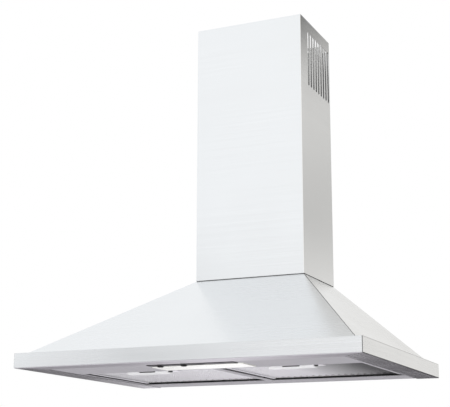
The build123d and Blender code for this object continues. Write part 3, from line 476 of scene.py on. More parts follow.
def noise(tree, per_metre, detail=2.0):
    """Noise on the piece's own coordinates, with so many features to the metre along each axis."""
    spread = add(tree, "Mapping")
    feed(spread, "Scale", per_metre)
    feed(spread, "Vector", own_place(tree))
    pattern = add(tree, "TexNoise")
    feed(pattern, "Scale", 1.0)
    feed(pattern, "Detail", detail)
    feed(pattern, "Vector", spread.outputs["Vector"])
    return pattern.outputs["Fac"]


def between(share, low, high, start=0.3, end=0.7):
    """A value that runs from low to high as share goes from start to end."""
    ramp = add(share.id_data, "MapRange")
    for name, value in zip(("From Min", "From Max", "To Min", "To Max"), (start, end, low, high)):
        feed(ramp, name, value)
    feed(ramp, "Value", share)
    return ramp.outputs["Result"]


def rise(share, start=0.3, end=0.7):
    """Nothing before start, and all of it after end."""
    return between(share, 0.0, 1.0, start, end)


def fall(share, start, end):
    """All of it before start, and nothing after end."""
    return between(share, 1.0, 0.0, start, end)


def combine(operation, first, *others):
    """Values taken together, one after the other."""
    for other in others:
        both = add(first.id_data, "Math", operation=operation)
        feed(both, 0, first)
        feed(both, 1, other)
        first = both.outputs[0]
    return first


def blend(share, first, second, kind="FLOAT"):
    """What lies between two inputs of a kind, each of them an output or a constant."""
    mix = add(share.id_data, "Mix", data_type=kind)
    places = [i for i, socket in enumerate(mix.inputs) if socket.enabled]
    for place, value in zip(places, (share, first, second)):
        feed(mix, place, value)
    return [socket for socket in mix.outputs if socket.enabled][0]


def blend_colours(share, first, second):
    """A colour between two."""
    return blend(share, first, second, "RGBA")


def scaled(tint, share):
    """A colour made darker or lighter, up to white."""
    return [min(1.0, part * share) for part in tint]


def clouded(pattern, tint, spread):
    """A colour that is darker and lighter by this spread as the pattern goes."""
    return blend_colours(rise(pattern), scaled(tint, 1 - spread), scaled(tint, 1 + spread))


def edge_wear_and_shade_share(tree, most):
    """Where the piece's edges and folds are marked for wear and painted shade, and by how much at most."""
    edge_wear_and_shade = add(tree, "Attribute", attribute_name="edge_wear_and_shade")
    return between(edge_wear_and_shade.outputs["Fac"], 0.0, most, 0.0, 1.0)


def add_bump(shader, share, strength, depth=tooth_depth):
    """Raises the surface with a pattern."""
    bump = add(shader.id_data, "Bump")
    feed(bump, "Strength", strength)
    feed(bump, "Distance", depth)
    feed(bump, "Height", share)
    feed(shader, "Normal", bump.outputs["Normal"])


def grained_metal(name, tint, grain, roughness, metallic=1.0, streak=0.009, fold_wear_and_shade=1.06, tooth=0.012):
    """Brushed metal: scratches and streaks along the grain, faint smudges, and a tone on folds and edges that
    lightens them as edge wear and painted highlight above one, and darkens them as painted shade below one.
    """
    material, tree, shader = new_material(name)
    fine = noise(tree, grain, 3.0)
    broad = noise(tree, [part * 0.22 for part in grain])
    smudge = noise(tree, even(5.0), 3.0)
    scratched = scaled(tint, 1 - 1.6 * streak)
    lit = blend_colours(between(fine, 0.0, 0.5), clouded(broad, tint, streak), scratched)
    # Folds and edges take the fold tone: lighter is edge wear and painted highlight, darker is painted shade.
    edge_wear_and_shade = blend_colours(edge_wear_and_shade_share(tree, 0.7), lit, scaled(tint, fold_wear_and_shade))
    brushed = between(fine, roughness - 0.03, roughness + 0.03)
    coat(shader, edge_wear_and_shade, combine("ADD", brushed, between(smudge, -0.03, 0.05)), metallic)
    add_bump(shader, fine, tooth)
    return material


def paint_shade_along_x(material, tint, start, end, depth):
    """Paints shade into a material along X: darker from nothing at start to this depth at end."""
    tree = material.node_tree
    shader = tree.nodes["finish"]
    unshaded = shader.inputs["Base Color"].links[0].from_socket
    share = between(parts_of(own_place(tree))["X"], 0.0, depth, start, end)
    feed(shader, "Base Color", blend_colours(share, unshaded, tint))
    feed(shader, "Metallic", blend(share, shader.inputs["Metallic"].default_value, 0.0))
    feed(shader, "Specular IOR Level", 0.05)


def spangled_zinc(name, tint):
    """Galvanised sheet: large dull crystals with a fine tooth."""
    material, tree, shader = new_material(name)
    crystals = add(tree, "TexVoronoi")
    feed(crystals, "Scale", 160.0)
    feed(crystals, "Vector", own_place(tree))
    parts = add(tree, "SeparateColor")
    feed(parts, "Color", crystals.outputs["Color"])
    shade = blend_colours(parts.outputs["Red"], scaled(tint, 0.82), scaled(tint, 1.15))
    coat(shader, shade, between(parts.outputs["Green"], 0.42, 0.62, 0.0, 1.0), 0.85)
    add_bump(shader, noise(tree, even(900.0)), 0.05)
    return material


def shaded_bracket(shade_tint):
    """Dulled bracket plate with painted shade: pale at its top and dark towards its foot, mottled at random.
    """
    material, tree, shader = new_material("zinc_bracket")
    low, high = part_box("chimney_bracket")
    # Painted shade: the plate darkens from its top down to its foot.
    height = rise(parts_of(own_place(tree))["Z"], low.z, high.z - 0.03)
    soot_and_shade = noise(tree, even(40.0), 3.0)
    unshaded = combine("MULTIPLY", height, between(soot_and_shade, 0.85, 1.0))
    coat(shader, blend_colours(unshaded, shade_tint, (0.75, 0.75, 0.74)), between(soot_and_shade, 0.5, 0.7), 0.2)
    add_bump(shader, soot_and_shade, 0.05)
    return material


def moulded_plastic(name, tint, roughness, tooth=1400.0, spread=0.12, bump=0.12, shine=0.5):
    """Moulded plastic: a fine tooth, slight cloudiness and rubbed edges."""
    material, tree, shader = new_material(name)
    cloudy = clouded(noise(tree, even(18.0), 3.0), tint, spread)
    rubbed = [part * 0.9 + 0.03 for part in tint]
    edge_wear_and_shade = blend_colours(edge_wear_and_shade_share(tree, 0.5), cloudy, rubbed)
    grain = noise(tree, even(tooth))
    coat(shader, edge_wear_and_shade, between(grain, roughness - 0.06, roughness + 0.08))
    feed(shader, "Specular IOR Level", shine)
    add_bump(shader, grain, bump)
    return material


def stacked_iron(tint):
    """Laminations: thin sheets stacked along the shaft."""
    material, tree, shader = new_material("iron_stack")
    stack = add(tree, "TexWave", bands_direction="X")
    feed(stack, "Scale", 320.0)
    feed(stack, "Distortion", 0.6)
    feed(stack, "Vector", own_place(tree))
    layers = stack.outputs["Fac"]
    shade = blend_colours(layers, scaled(tint, 0.6), scaled(tint, 1.2))
    coat(shader, shade, between(noise(tree, even(200.0)), 0.45, 0.65), 0.8)
    add_bump(shader, layers, 0.2)
    return material


def opal_cover(tint):
    """Opal lamp cover, with a painted glow for the lamp's light from behind."""
    material, tree, shader = new_material("opal_cover")
    glow = clouded(noise(tree, even(40.0)), tint, 0.03)
    reeds = noise(tree, (20.0, 700.0, 20.0), 1.0)
    coat(shader, glow, between(reeds, 0.22, 0.34))
    # Painted glow: the cover gives off a little light of its own colour.
    feed(shader, "Emission Color", glow)
    feed(shader, "Emission Strength", 0.12)
    add_bump(shader, reeds, 0.08, 1.5 * tooth_depth)
    return material


def frosted_glass():
    """Thin frosted lamp glass."""
    material, tree, shader = new_material("lamp_frosted")
    haze = noise(tree, even(60.0))
    tint = blend_colours(rise(haze), (0.95, 0.93, 0.88), (0.99, 0.98, 0.95))
    coat(shader, tint, between(haze, 0.3, 0.5))
    feed(shader, "Transmission Weight", 0.6)
    feed(shader, "Emission Color", (1.0, 0.95, 0.85))
    feed(shader, "Emission Strength", 0.5)
    return material


# Folded sheets

def folded_sheet(name, sizes, axis, sign):
    """A canopy sheet of flange, rim, ledge and slope, which faces along an axis to the side of its sign."""
    other = 1 - axis
    reaches = ((half_width, chimney_half), (hood_depth, chimney_depth))
    rim, foot = reaches[axis]
    run, neck_run = (reach - sizes.seam for reach in reaches[other])
    ledge_run = run - sizes.rim_ledge
    flange = sign * (rim - sizes.flange)
    climb = neck - rim_bottom - sizes.rim_height
    low, high = [0, 0], [0, 0]
    low[axis], high[axis] = sorted((flange, sign * rim))
    low[other], high[other] = -run, run if axis == Y else 0
    middle, size = between_corners(low, high)

    def fold(out, up):
        step = [0, 0, up]
        step[axis] = sign * out
        pull(step)

    def stretch(share):
        scale = [1.0, 1.0, 1.0]
        scale[other] = share
        bpy.ops.transform.resize(value=scale, center_override=(0.0, 0.0, 0.0))

    fresh()
    bpy.ops.mesh.primitive_plane_add(size=1, location=(*middle, rim_bottom))
    sheet = added(name, (*size, 1))
    edit(sheet)
    pick(sheet, "EDGE", lambda co: near(co[axis], flange))
    stretch((run - sizes.flange) / run)
    pick(sheet, "EDGE", lambda co: near(co[axis], sign * rim))
    fold(0, sizes.rim_height)
    fold(-sizes.rim_ledge, 0)
    stretch(ledge_run / run)
    fold(foot + sizes.rim_ledge - rim, climb)
    stretch(neck_run / ledge_run)
    pick(sheet, "EDGE", lambda co: near(co[other], middle[other], sizes.rim_ledge)
         and sign * co[axis] > foot + sizes.sheet and not near(co[axis], flange))
    bend(sizes.bend)
    return sheet


def thicken(sheet, sizes, outward, materials):
    """Turns the sheet's faces outwards and gives it its thickness, with the dull side in, darkened as painted
    shade.
    """
    edit(sheet)
    bpy.ops.mesh.normals_make_consistent(inside=False)
    fresh()
    largest = max(sheet.data.polygons, key=lambda face: face.area)
    if largest.normal.dot(outward) < 0:
        edit(sheet)
        bpy.ops.mesh.flip_normals()
        fresh()
    for material in materials:
        sheet.data.materials.append(material)
    apply(sheet, "SOLIDIFY", thickness=sizes.sheet, offset=-1.0, use_even_offset=True, material_offset=1,
          material_offset_rim=1)
    soften(sheet)


class HOOD_OT_canopy(bpy.types.Operator):
    """Fold the three sheets of the canopy"""

    bl_idname = "hood.canopy"
    bl_label = "Canopy sheets"

    def execute(self, context):
        sizes = context.scene.hood_sizes
        finish = context.scene.hood_finish
        inner = grained_metal("steel_inner_side_dull_and_shaded", finish.inner, even(300.0), 0.6, 0.5)
        # The canopy's folds are darkened: painted shade along the folds.
        across = grained_metal("steel_brushed_across", finish.steel, brushed_x, 0.25, fold_wear_and_shade=0.85, tooth=0.006)
        inwards = grained_metal("steel_brushed_inwards", finish.steel, brushed_y, 0.24, fold_wear_and_shade=0.3, tooth=0.004)
        # The front flange is the canopy's own steel in the darker satin colour: painted shade under the rim.
        shaded_return = grained_metal("steel_brushed_return", finish.satin_and_shade, brushed_x, 0.35, 0.65)
        sheets = (("front", Y, -1, [across, inner, shaded_return]), ("left", X, -1, [inwards, inner]),
                  ("right", X, 1, [inwards, inner]))
        for name, axis, sign, metals in sheets:
            sheet = folded_sheet("folded_" + name, sizes, axis, sign)
            outward = [0, 0, 1]
            outward[axis] = sign
            thicken(sheet, sizes, outward, metals)
            for face in sheet.data.polygons:
                if shaded_return in metals and near(face.center.z, rim_bottom):
                    face.material_index = metals.index(shaded_return)
            mark_edges_for_wear_and_shade(sheet, sizes.sheet)
            fit_out(sheet, metals, "hood", "canopy_" + name)
        # Painted shade: the hip strips behind the seams are near black, so the seams show as dark lines.
        seam_shade = grained_metal("strip_seam_shade", scaled(finish.inner, 0.3), even(300.0), 0.7, 0.2)
        paint(seam_shade, "hip_strip_left", "hip_strip_right")
        return {"FINISHED"}


class HOOD_OT_chimney(bpy.types.Operator):
    """Fold the chimney cover, punch its vents and finish what it hides"""

    bl_idname = "hood.chimney"
    bl_label = "Chimney"

    def execute(self, context):
        sizes = context.scene.hood_sizes
        finish = context.scene.hood_finish
        cover = self.folded(sizes)
        # The chimney keeps the lighter folds: edge wear and a painted highlight along its folds.
        steel = [grained_metal("steel_brushed_chimney", finish.steel, brushed_round, 0.20),
                 bpy.data.materials["steel_inner_side_dull_and_shaded"]]
        thicken(cover, sizes, (0, -1, 0), steel)
        self.punch(cover, sizes)
        mark_edges_for_wear_and_shade(cover, sizes.sheet)
        fit_out(cover, steel, "chimney", "chimney_cover")
        paint(spangled_zinc("zinc_sheet", finish.zinc), "chimney_sleeve", "rear_panel", "blower_deck")
        paint(shaded_bracket(finish.soot_and_shade), "chimney_bracket")
        return {"FINISHED"}

    def folded(self, sizes):
        """The cover's front, its two sides and their rear returns, folded from one strip."""
        bottom = chimney_low.z + sizes.seam
        middle = (bottom + chimney_high.z) / 2
        fresh()
        bpy.ops.mesh.primitive_plane_add(size=1, location=(0, -chimney_depth, middle),
                                         rotation=(math.pi / 2, 0, 0))
        cover = added("vented_cover", (2 * chimney_half, chimney_high.z - bottom, 1))
        edit(cover)
        for side in (-1, 1):
            pick(cover, "EDGE", lambda co: near(co.x, side * chimney_half))
            pull((0, chimney_depth, 0))
            pull((-side * sizes.lip, 0, 0))
        pick(cover, "EDGE", lambda co: near(abs(co.x), chimney_half) and near(co.z, middle))
        bend(sizes.bend)
        return cover

    def punch(self, cover, sizes):
        """Cuts the vent slots, and the room for the wall bracket."""
        both_sides = 2.2 * chimney_half
        upright = (0, math.pi / 2, 0)
        z = chimney_high.z - sizes.vent_top - sizes.vent_length / 2
        vents = []
        for i in range(sizes.vent_count):
            place = (0, -(sizes.vent_back + i * sizes.vent_pitch), z)
            vents.append(long_hole(place, sizes.vent_length, sizes.vent_width, both_sides, upright))
        cut(cover, join(vents))
        arm_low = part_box("chimney_bracket")[1].z - sizes.bracket_room
        inner = chimney_half - sizes.sheet
        above = chimney_high.z + sizes.lip
        cut(cover, block("notch", (-inner, -sizes.sheet, arm_low), (inner, sizes.lip, above)))
        soften(cover)


class HOOD_OT_underside(bpy.types.Operator):
    """Finish the underside panel"""

    bl_idname = "hood.underside"
    bl_label = "Underside panel"

    def execute(self, context):
        satin_and_shade = context.scene.hood_finish.satin_and_shade
        paint(grained_metal("steel_brushed_underside", satin_and_shade, brushed_x, 0.6, 0.1), "underside_panel")
        return {"FINISHED"}


class HOOD_OT_filters(bpy.types.Operator):
    """Weave the filters' fine nets, round their frames and finish their cores"""

    bl_idname = "hood.filters"
    bl_label = "Grease filters"

    def execute(self, context):
        sizes = context.scene.hood_sizes
        finish = context.scene.hood_finish
        alloy = finish.alloy
        rolled = grained_metal("alloy_rolled", alloy, (5.0, 600.0, 600.0), 0.42, 0.5)
        # A near-black material for painted shade on the filter frames.
        painted_shade_black = moulded_plastic("alloy_painted_shade", scaled(alloy, 0.012), 0.85, 300.0, shine=0.03)
        net_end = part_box("filter_mesh_right")[1].x
        for side in sides:
            body = "filter_" + side
            woven = grained_metal("alloy_net_" + side, scaled(alloy, 1.08), even(300.0), 0.34, 0.45, 0.03)
            pleated = grained_metal("alloy_core_" + side, scaled(alloy, 0.95), (300.0, 5.0, 300.0), 0.5, 0.3)
            # Painted shade: each net, and the right core, darken towards their outer ends.
            if side == "left":
                paint_shade_along_x(woven, finish.soot_and_shade, -0.1 * net_end, -net_end, 0.4)
            else:
                paint_shade_along_x(woven, finish.soot_and_shade, 0.4 * net_end, 0.9 * net_end, 0.95)
                paint_shade_along_x(pleated, finish.soot_and_shade, 0.4 * net_end, 0.9 * net_end, 0.7)
            net = self.net(sizes, side)
            fit_out(net, [woven], body, "filter_mesh_" + side)
            edge = rounded_node("filter_frame_" + side, thin_edge, [rolled, painted_shade_black], body)
            self.soot_and_shade(sizes, edge, net)
            paint(pleated, "filter_core_" + side)
        return {"FINISHED"}

    def soot_and_shade(self, sizes, edge, net):
        """Blackens the frame's hinge lugs, its rear rail and its left edge: painted shade where they lie in
        the gaps.
        """
        rear = max(corner.co.y for corner in net.data.vertices) - sizes.soot_and_shade
        left = min(corner.co.x for corner in net.data.vertices)
        edit(edge)
        for place, across in (((0, rear, 0), (0, 1, 0)), ((left, 0, 0), (1, 0, 0))):
            bpy.ops.mesh.select_all(action="SELECT")
            bpy.ops.mesh.bisect(plane_co=place, plane_no=across)
        fresh()
        black = edge.data.materials.find("alloy_painted_shade")
        for face in edge.data.polygons:
            if face.center.y > rear or face.center.x < left:
                face.material_index = black

    def net(self, sizes, side):
        """One filter's net: a sheet of diamonds with room left for the latch."""
        low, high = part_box("filter_mesh_" + side)
        latch_low, latch_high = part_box("filter_latch_" + side)
        bay_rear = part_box("filter_spring_" + side)[1].y
        middle = (low + high) / 2
        width = high.x - low.x - sizes.strand
        depth = high.y - low.y - sizes.strand
        fresh()
        bpy.ops.mesh.primitive_grid_add(size=1, x_subdivisions=sizes.net_columns,
                                        y_subdivisions=sizes.net_rows, location=middle)
        net = added("net_" + side, (width, depth, 1))
        edit(net)
        bpy.ops.mesh.poke()
        column = width / sizes.net_columns
        row = depth / sizes.net_rows
        bpy.ops.mesh.select_mode(type="EDGE")
        bpy.ops.mesh.select_all(action="DESELECT")
        drawn = bmesh.from_edit_mesh(net.data)
        for edge in drawn.edges:
            run = edge.verts[1].co - edge.verts[0].co
            edge.select_set(not edge.is_boundary and (abs(run.x) < column / 4 or abs(run.y) < row / 4))
        bmesh.update_edit_mesh(net.data)
        bpy.ops.mesh.dissolve_edges(use_verts=False)
        pick(net, "FACE", lambda co: latch_low.x < co.x < latch_high.x and co.y < bay_rear)
        bpy.ops.mesh.delete(type="FACE")
        fresh()
        apply(net, "WIREFRAME", thickness=sizes.strand, use_replace=True, use_boundary=True,
              use_even_offset=False, offset=0.0)
        edit(net)
        bpy.ops.transform.resize(value=(1.0, 1.0, sizes.strand_flat), center_override=middle)
        fresh()
        return net


class HOOD_OT_latches(bpy.types.Operator):
    """Shape the filters' sliding handles"""

    bl_idname = "hood.latches"
    bl_label = "Filter latches"

    def execute(self, context):
        sizes = context.scene.hood_sizes
        finish = context.scene.hood_finish
        pale = moulded_plastic("handle_pale", finish.handle, 0.36, 900.0, 0.03, 0.04)
        black = moulded_plastic("black_moulding", finish.black, 0.42)
        spring = grained_metal("spring_steel", (0.42, 0.43, 0.45), even(200.0), 0.3)
        for side in sides:
            for piece, plastic in ((self.grip(sizes, side), pale), (self.slide(sizes, side), black)):
                fit_out(piece, [plastic], "latch_" + side, "filter_latch_" + side)
            self.leaf(sizes, side, spring)
            paint(spring, "filter_keeper_" + side)
        return {"FINISHED"}

    def leaf(self, sizes, side, metal):
        """The bowed leaf spring behind the latch, as a rounded copy with a mesh of its own."""
        node = "filter_spring_" + side
        leaf = rounded_node(node, leaf_edge, [metal], "filter_" + side)
        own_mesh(leaf)

    def places(self, sizes, side):
        """The latch's two corners, its middle, its front edge and the top of its grip."""
        low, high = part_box("filter_latch_" + side)
        return low, high, (low.x + high.x) / 2, high.y - sizes.grip_depth, high.z - sizes.latch_step

    def grip(self, sizes, side):
        """The pale outer grip, with a finger hole that opens to the front."""
        low, high, middle, front, grip_top = self.places(sizes, side)
        half = sizes.grip_width / 2
        grip = block("grip_" + side, (middle - half, front, low.z), (middle + half, high.y, grip_top))
        centre = (middle, (front + high.y) / 2, (low.z + grip_top) / 2)
        edit(grip)
        pick(grip, "EDGE", lambda co: near(abs(co.x - middle), half) and near(co.z, centre[2]))
        bend(sizes.grip_corner, 4)
        fresh()
        cut(grip, long_hole(centre, sizes.finger_width, sizes.finger_depth, through))
        start, stop = middle - sizes.mouth_half, middle + sizes.mouth_half
        cut(grip, block("mouth", (start, front - overcut, low.z + sizes.sill),
                        (stop, centre[1], grip_top + overcut)))
        round_edges(grip, moulded_edge)
        mark_edges_for_wear_and_shade(grip, moulded_edge)
        return grip

    def slide(self, sizes, side):
        """The black inner slide: neck, plate, bolt, end catch, and a black block in the grip's mouth as
        painted shade behind the slit.
        """
        low, high, middle, front, grip_top = self.places(sizes, side)
        centre = (middle, (front + high.y) / 2, high.z)
        hole_front = centre[1] - sizes.finger_depth / 2
        plate_low = high.z - sizes.latch_plate
        inset = sizes.neck_inset
        slit = (front + sizes.recess, low.z + sizes.sill)
        end = middle + sizes.grip_width / 2
        start, stop = middle - sizes.neck_half, middle + sizes.neck_half
        pieces = [block("slide_" + side, (start, front + inset, grip_top), (stop, high.y - inset, plate_low)),
                  block("plate", (low.x, front, plate_low), high)]
        for part in pieces:
            cut(part, long_hole(centre, sizes.finger_width, sizes.finger_depth, through))
            round_edges(part, thin_edge)
        start, stop = middle - sizes.bolt_half, middle + sizes.bolt_half
        pieces.append(rounded_block("bolt", (start, low.y, plate_low), (stop, front, high.z), moulded_edge))
        # Painted shade: a black block fills the grip's mouth, so the slit shows black.
        start, stop = middle - sizes.mouth_half, middle + sizes.mouth_half
        pieces.append(rounded_block("mouth_shade", (start, *slit), (stop, hole_front, grip_top), fine_edge))
        start, stop = end - sizes.catch_root, end + sizes.catch_reach
        catch_top = plate_low + sizes.catch_lap
        pieces.append(rounded_block("catch", (start, *slit), (stop, centre[1], catch_top), moulded_edge))
        return join(pieces)


class HOOD_OT_lamp(bpy.types.Operator):
    """Shape the lamp cover and finish the lamp and its tray"""

    bl_idname = "hood.lamp"
    bl_label = "Lamp"

    def execute(self, context):
        opal = opal_cover(context.scene.hood_finish.opal)
        fit_out(self.cover(context.scene.hood_sizes), [opal], "diffuser", "light_diffuser")
        paint(grained_metal("reflector_bright", (0.86, 0.86, 0.85), (5.0, 500.0, 500.0), 0.22), "light_tray")
        paint(frosted_glass(), "lamp_glass")
        paint(grained_metal("lamp_cap_metal", (0.72, 0.71, 0.69), (400.0, 40.0, 40.0), 0.3), "lamp_cap")
        paint(moulded_plastic("ceramic_white", (0.80, 0.79, 0.74), 0.5, 700.0, 0.05), "lamp_holder")
        return {"FINISHED"}

    def cover(self, sizes):
        """A shallow opal tray with rounded edges, hung on a pin at each end."""
        low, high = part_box("light_diffuser")
        half = high.x - sizes.pin_reach
        tray = block("opal_tray", (-half, low.y, low.z), (half, high.y, high.z))
        step_top(tray, high.z, sizes.cover_wall, low.z + sizes.cover_sheet - high.z)
        round_edges(tray, cover_edge, 3)
        y = high.y - sizes.pin_inset
        z = low.z + sizes.pin_rise
        root = half - sizes.cover_wall
        pins = [pin_x(sizes.pin_radius, side * root, side * high.x, y, z) for side in (-1, 1)]
        return join([tray] + pins)


class HOOD_OT_switch(bpy.types.Operator):
    """Shape the switch's face and its two ribbed sliders"""

    bl_idname = "hood.switch"
    bl_label = "Slide switch"

    def execute(self, context):
        sizes = context.scene.hood_sizes
        black = [bpy.data.materials["black_moulding"]]
        fit_out(self.face(sizes), black, "hood", "switch_bezel")
        for knob in ("light", "speed"):
            node = knob + "_slider"
            fit_out(self.slider(sizes, node), black, knob + "_knob", node)
        rounded_node("switch_housing", moulded_edge, black, "hood")
        paint(moulded_plastic("contact_brown", (0.26, 0.14, 0.07), 0.45), "switch_contacts")
        return {"FINISHED"}

    def face(self, sizes):
        """The black face and its neck through the panel, with a slot for each slider."""
        low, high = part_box("switch_bezel")
        shoulder = low.z + sizes.bezel_sheet
        face = block("switch_face", low, (high.x, high.y, shoulder))
        step_top(face, shoulder, sizes.bezel_lip, high.z - shoulder)
        for node, travel in (("light_slider", sizes.light_travel), ("speed_slider", sizes.speed_travel)):
            middle = sum(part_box(node), Vector()) / 2
            place = (middle.x + travel / 2, middle.y, (low.z + high.z) / 2)
            span = travel + sizes.stem + 2 * slot_play
            cut(face, long_hole(place, span, sizes.stem + slot_play, through))
        round_edges(face, moulded_edge, 3)
        mark_edges_for_wear_and_shade(face, moulded_edge)
        return face

    def slider(self, sizes, node):
        """A slider: ribbed knob, stem and head."""
        low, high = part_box(node)
        x, y = ((low + high) / 2).xy
        knob_top = low.z + sizes.knob_drop
        head_low = high.z - sizes.head_sheet
        stem = sizes.stem / 2
        rib = sizes.rib
        corners = (x - sizes.knob_half, low.y, low.z + rib), (x + sizes.knob_half, high.y, knob_top)
        pieces = [rounded_block(node + "_ribbed", *corners, knob_edge)]
        for i in range(sizes.rib_count):
            start = x + (i - (sizes.rib_count - 1) / 2) * sizes.rib_pitch - rib / 2
            corners = (start, low.y + rib, low.z), (start + rib, high.y - rib, low.z + 2 * rib)
            pieces.append(rounded_block("ridge", *corners, fine_edge))
        pieces.append(block("stem", (x - stem, y - stem, knob_top), (x + stem, y + stem, head_low)))
        pieces.append(block("head", (low.x, low.y, head_low), high))
        return join(pieces)


class HOOD_OT_blower(bpy.types.Operator):
    """Finish the blower's casing, impeller and outlet"""

    bl_idname = "hood.blower"
    bl_label = "Blower"

    def execute(self, context):
        finish = context.scene.hood_finish
        grey = moulded_plastic("blower_grey", finish.grey, 0.5)
        paint(grey, "casing_left", "casing_right", "outlet_adapter")
        paint(moulded_plastic("flap_black", scaled(finish.grey, 0.5), 0.45), "flap_front", "flap_rear")
        paint(moulded_plastic("pad_rubber", scaled(finish.black, 1.4), 0.75, 500.0), "blower_pads")
        pressed = spangled_zinc("zinc_pressed", scaled(finish.zinc, 1.1))
        paint(pressed, "impeller_hub", "impeller_blades", "impeller_rings")
        return {"FINISHED"}


class HOOD_OT_motor(bpy.types.Operator):
    """Finish the motor and its carrier"""

    bl_idname = "hood.motor"
    bl_label = "Motor"

    def execute(self, context):
        paint(bpy.data.materials["zinc_pressed"], "motor_can", "motor_spider")
        paint(stacked_iron((0.28, 0.28, 0.30)), "motor_stator", "motor_rotor")
        paint(grained_metal("bronze_bearing", (0.60, 0.40, 0.20), even(200.0), 0.4), "motor_bearings")
        return {"FINISHED"}


class HOOD_OT_fasteners(bpy.types.Operator):
    """Finish the nuts, studs, rivets, screws and rods"""

    bl_idname = "hood.fasteners"
    bl_label = "Fasteners"

    def execute(self, context):
        bright = grained_metal("bright_zinc", (0.62, 0.62, 0.60), even(300.0), 0.28)
        paint(bright, "panel_studs", "panel_nuts", "deck_rivets", "blower_screws", "blower_bolts",
              "impeller_nut", "flap_rod", "motor_shaft")
        return {"FINISHED"}


class HOOD_OT_electrics(bpy.types.Operator):
    """Finish the capacitor and the terminal box"""

    bl_idname = "hood.electrics"
    bl_label = "Electrical pieces"

    def execute(self, context):
        black = bpy.data.materials["black_moulding"]
        for node in ("terminal_box", "terminal_lid"):
            rounded_node(node, box_edge, [black], "hood")
        paint(black, "cable_gland")
        paint(bpy.data.materials["zinc_pressed"], "capacitor_clip")
        paint(moulded_plastic("capacitor_white", (0.78, 0.78, 0.76), 0.3, 300.0, 0.03, 0.04), "capacitor")
        return {"FINISHED"}


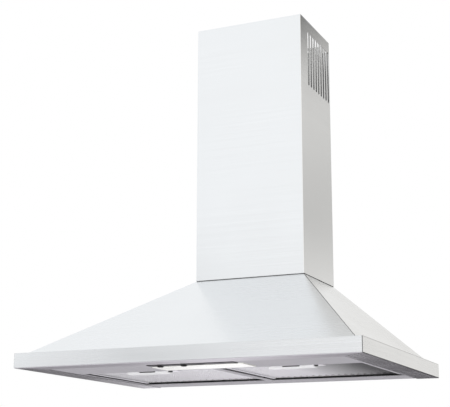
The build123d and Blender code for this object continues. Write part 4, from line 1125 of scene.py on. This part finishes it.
class HOOD_OT_stage(bpy.types.Operator):
    """Set the floor, the lamps, the world and the camera"""

    bl_idname = "hood.stage"
    bl_label = "Stage"

    def execute(self, context):
        stage = context.scene.hood_stage
        self.floor(stage)
        self.world(context.scene, stage)
        self.lamp("front_softbox", stage.key, 2.2, place=(-1.5, -2.6, 1.4), target=(0, -0.1, 0.15))
        self.lamp("low_softbox", stage.low, 0.7, place=(0.3, -2.4, -0.8), target=(0, -0.25, -0.1))
        lens = bpy.data.cameras.new("photo_camera")
        lens.lens = stage.lens
        camera = bpy.data.objects.new("photo_camera", lens)
        camera.location = stage.camera_place
        camera.rotation_euler = stage.camera_turn
        context.scene.collection.objects.link(camera)
        context.scene.camera = camera
        context.scene.view_settings.view_transform = "Standard"
        return {"FINISHED"}

    def floor(self, stage):
        """A plain pale floor below the hood."""
        fresh()
        place = (0, -1.0, rim_bottom - stage.floor_drop)
        bpy.ops.mesh.primitive_plane_add(size=stage.floor_size, location=place)
        floor = added("floor")
        material, tree, shader = new_material("pale_floor")
        cloud = rise(noise(tree, even(0.8), 3.0))
        coat(shader, blend_colours(cloud, (0.93, 0.93, 0.94), (0.95, 0.95, 0.96)), 0.8)
        floor.data.materials.append(material)
        floor.visible_glossy = False

    def world(self, scene, stage):
        """White to the camera; what metal mirrors is a pale room."""
        world = bpy.data.worlds.new("studio")
        scene.world = world
        world.use_nodes = True
        tree = world.node_tree
        tree.nodes.clear()
        white = (1.0, 1.0, 1.0)
        rays = add(tree, "LightPath").outputs
        seen = combine("MAXIMUM", rays["Is Camera Ray"], rays["Is Transmission Ray"])
        room = self.glow(tree, self.room(tree))
        lit = self.either(rays["Is Glossy Ray"], self.glow(tree, white, stage.fill), room)
        shown = self.either(seen, lit, self.glow(tree, white))
        feed(add(tree, "OutputWorld"), "Surface", shown)

    def glow(self, tree, tint, strength=1.0):
        """Light of a colour from all round."""
        light = add(tree, "Background")
        feed(light, "Color", tint)
        feed(light, "Strength", strength)
        return light.outputs[0]

    def either(self, share, first, second):
        """The first light, or the second where the share is one."""
        mix = add(share.id_data, "MixShader")
        feed(mix, "Fac", share)
        feed(mix, 1, first)
        feed(mix, 2, second)
        return mix.outputs[0]

    def room(self, tree):
        """The room's colour in each direction: cool to the left, warmer to the right."""
        across, ahead, up = parts_of(add(tree, "TexCoord").outputs["Generated"])
        front = fall(ahead, -0.6, 0.0)
        below = fall(up, -0.03, 0.0)
        level = self.walls(across, ahead, up, front)
        level = blend(below, level, self.ground(across, up, front))
        warm = rise(across, -0.3, -0.1)
        tint = blend_colours(warm, (0.975, 0.99, 1.0), (1.0, 0.985, 0.955))
        tint = blend_colours(below, tint, (0.98, 0.94, 1.0))
        scale = add(tree, "VectorMath", operation="SCALE")
        feed(scale, "Vector", tint)
        feed(scale, "Scale", level)
        return scale.outputs["Vector"]

    def walls(self, across, ahead, up, front):
        """How bright the room is above its floor: two walls, the front and a dark corner."""
        left_wall = between(up, 0.90, 1.0, 0.35, 0.55)
        right_wall = between(up, 0.53, 0.72, 0.215, 0.31)
        right_wall = blend(fall(up, 0.16, 0.22), right_wall, 0.84)
        level = blend(rise(across, -0.12, 0.16), left_wall, right_wall)
        level = blend(front, level, 1.04)
        low_front = between(across, 0.40, 1.12, -0.46, -0.37)
        low_front = blend(fall(across, -0.57, -0.52), low_front, 1.3)
        level = blend(combine("MULTIPLY", front, fall(up, 0.11, 0.17)), level, low_front)
        height = rise(up, 0.36, 0.385), fall(up, 0.46, 0.52)
        corner = combine("MULTIPLY", rise(across, 0.1, 0.3), *height, rise(ahead, 0.0, 0.3))
        return blend(corner, level, 0.0)

    def ground(self, across, up, front):
        """How bright the floor is: a pale middle between darker ends, and an even front."""
        far_right = between(across, 0.16, 0.04, -0.31, -0.25)
        level = blend(rise(across, -0.40, -0.31), 1.5, far_right)
        far_left = between(across, 0.06, 0.24, -0.56, -0.46)
        level = blend(fall(across, -0.48, -0.42), level, far_left)
        steep = between(across, 1.1, 0.5, -0.2, 0.2)
        level = blend(fall(up, -0.5, -0.3), level, steep)
        return blend(front, level, 0.44)

    def lamp(self, name, power, size, place, target):
        """A square softbox that faces its target and isn't seen itself."""
        light = bpy.data.lights.new(name, "AREA")
        light.shape = "SQUARE"
        light.size = size
        light.energy = power
        box = bpy.data.objects.new(name, light)
        box.location = place
        box.rotation_euler = (Vector(target) - Vector(place)).to_track_quat("-Z", "Y").to_euler()
        box.visible_camera = False
        box.visible_glossy = False
        bpy.context.scene.collection.objects.link(box)


operators = (HOOD_OT_stage, HOOD_OT_canopy, HOOD_OT_chimney, HOOD_OT_underside, HOOD_OT_filters,
             HOOD_OT_latches, HOOD_OT_lamp, HOOD_OT_switch, HOOD_OT_blower, HOOD_OT_motor,
             HOOD_OT_fasteners, HOOD_OT_electrics)


class HOOD_PT_panel(bpy.types.Panel):
    """The hood's pieces, in the order they are made"""

    bl_idname = "HOOD_PT_panel"
    bl_label = "Range hood"
    bl_space_type = "VIEW_3D"
    bl_region_type = "UI"
    bl_category = "Hood"

    def draw(self, context):
        for operator in operators:
            self.layout.operator(operator.bl_idname)


classes = (HoodSizes, HoodFinish, HoodStage) + operators + (HOOD_PT_panel,)


def register():
    for item in classes:
        bpy.utils.register_class(item)
    bpy.types.Scene.hood_sizes = PointerProperty(type=HoodSizes)
    bpy.types.Scene.hood_finish = PointerProperty(type=HoodFinish)
    bpy.types.Scene.hood_stage = PointerProperty(type=HoodStage)


def unregister():
    for name in ("hood_sizes", "hood_finish", "hood_stage"):
        delattr(bpy.types.Scene, name)
    for item in reversed(classes):
        bpy.utils.unregister_class(item)


def main():
    register()
    bpy.ops.hood.stage()
    bpy.ops.hood.canopy()
    bpy.ops.hood.chimney()
    bpy.ops.hood.underside()
    bpy.ops.hood.filters()
    bpy.ops.hood.latches()
    bpy.ops.hood.lamp()
    bpy.ops.hood.switch()
    bpy.ops.hood.blower()
    bpy.ops.hood.motor()
    bpy.ops.hood.fasteners()
    bpy.ops.hood.electrics()


if __name__ == "__main__":
    main()
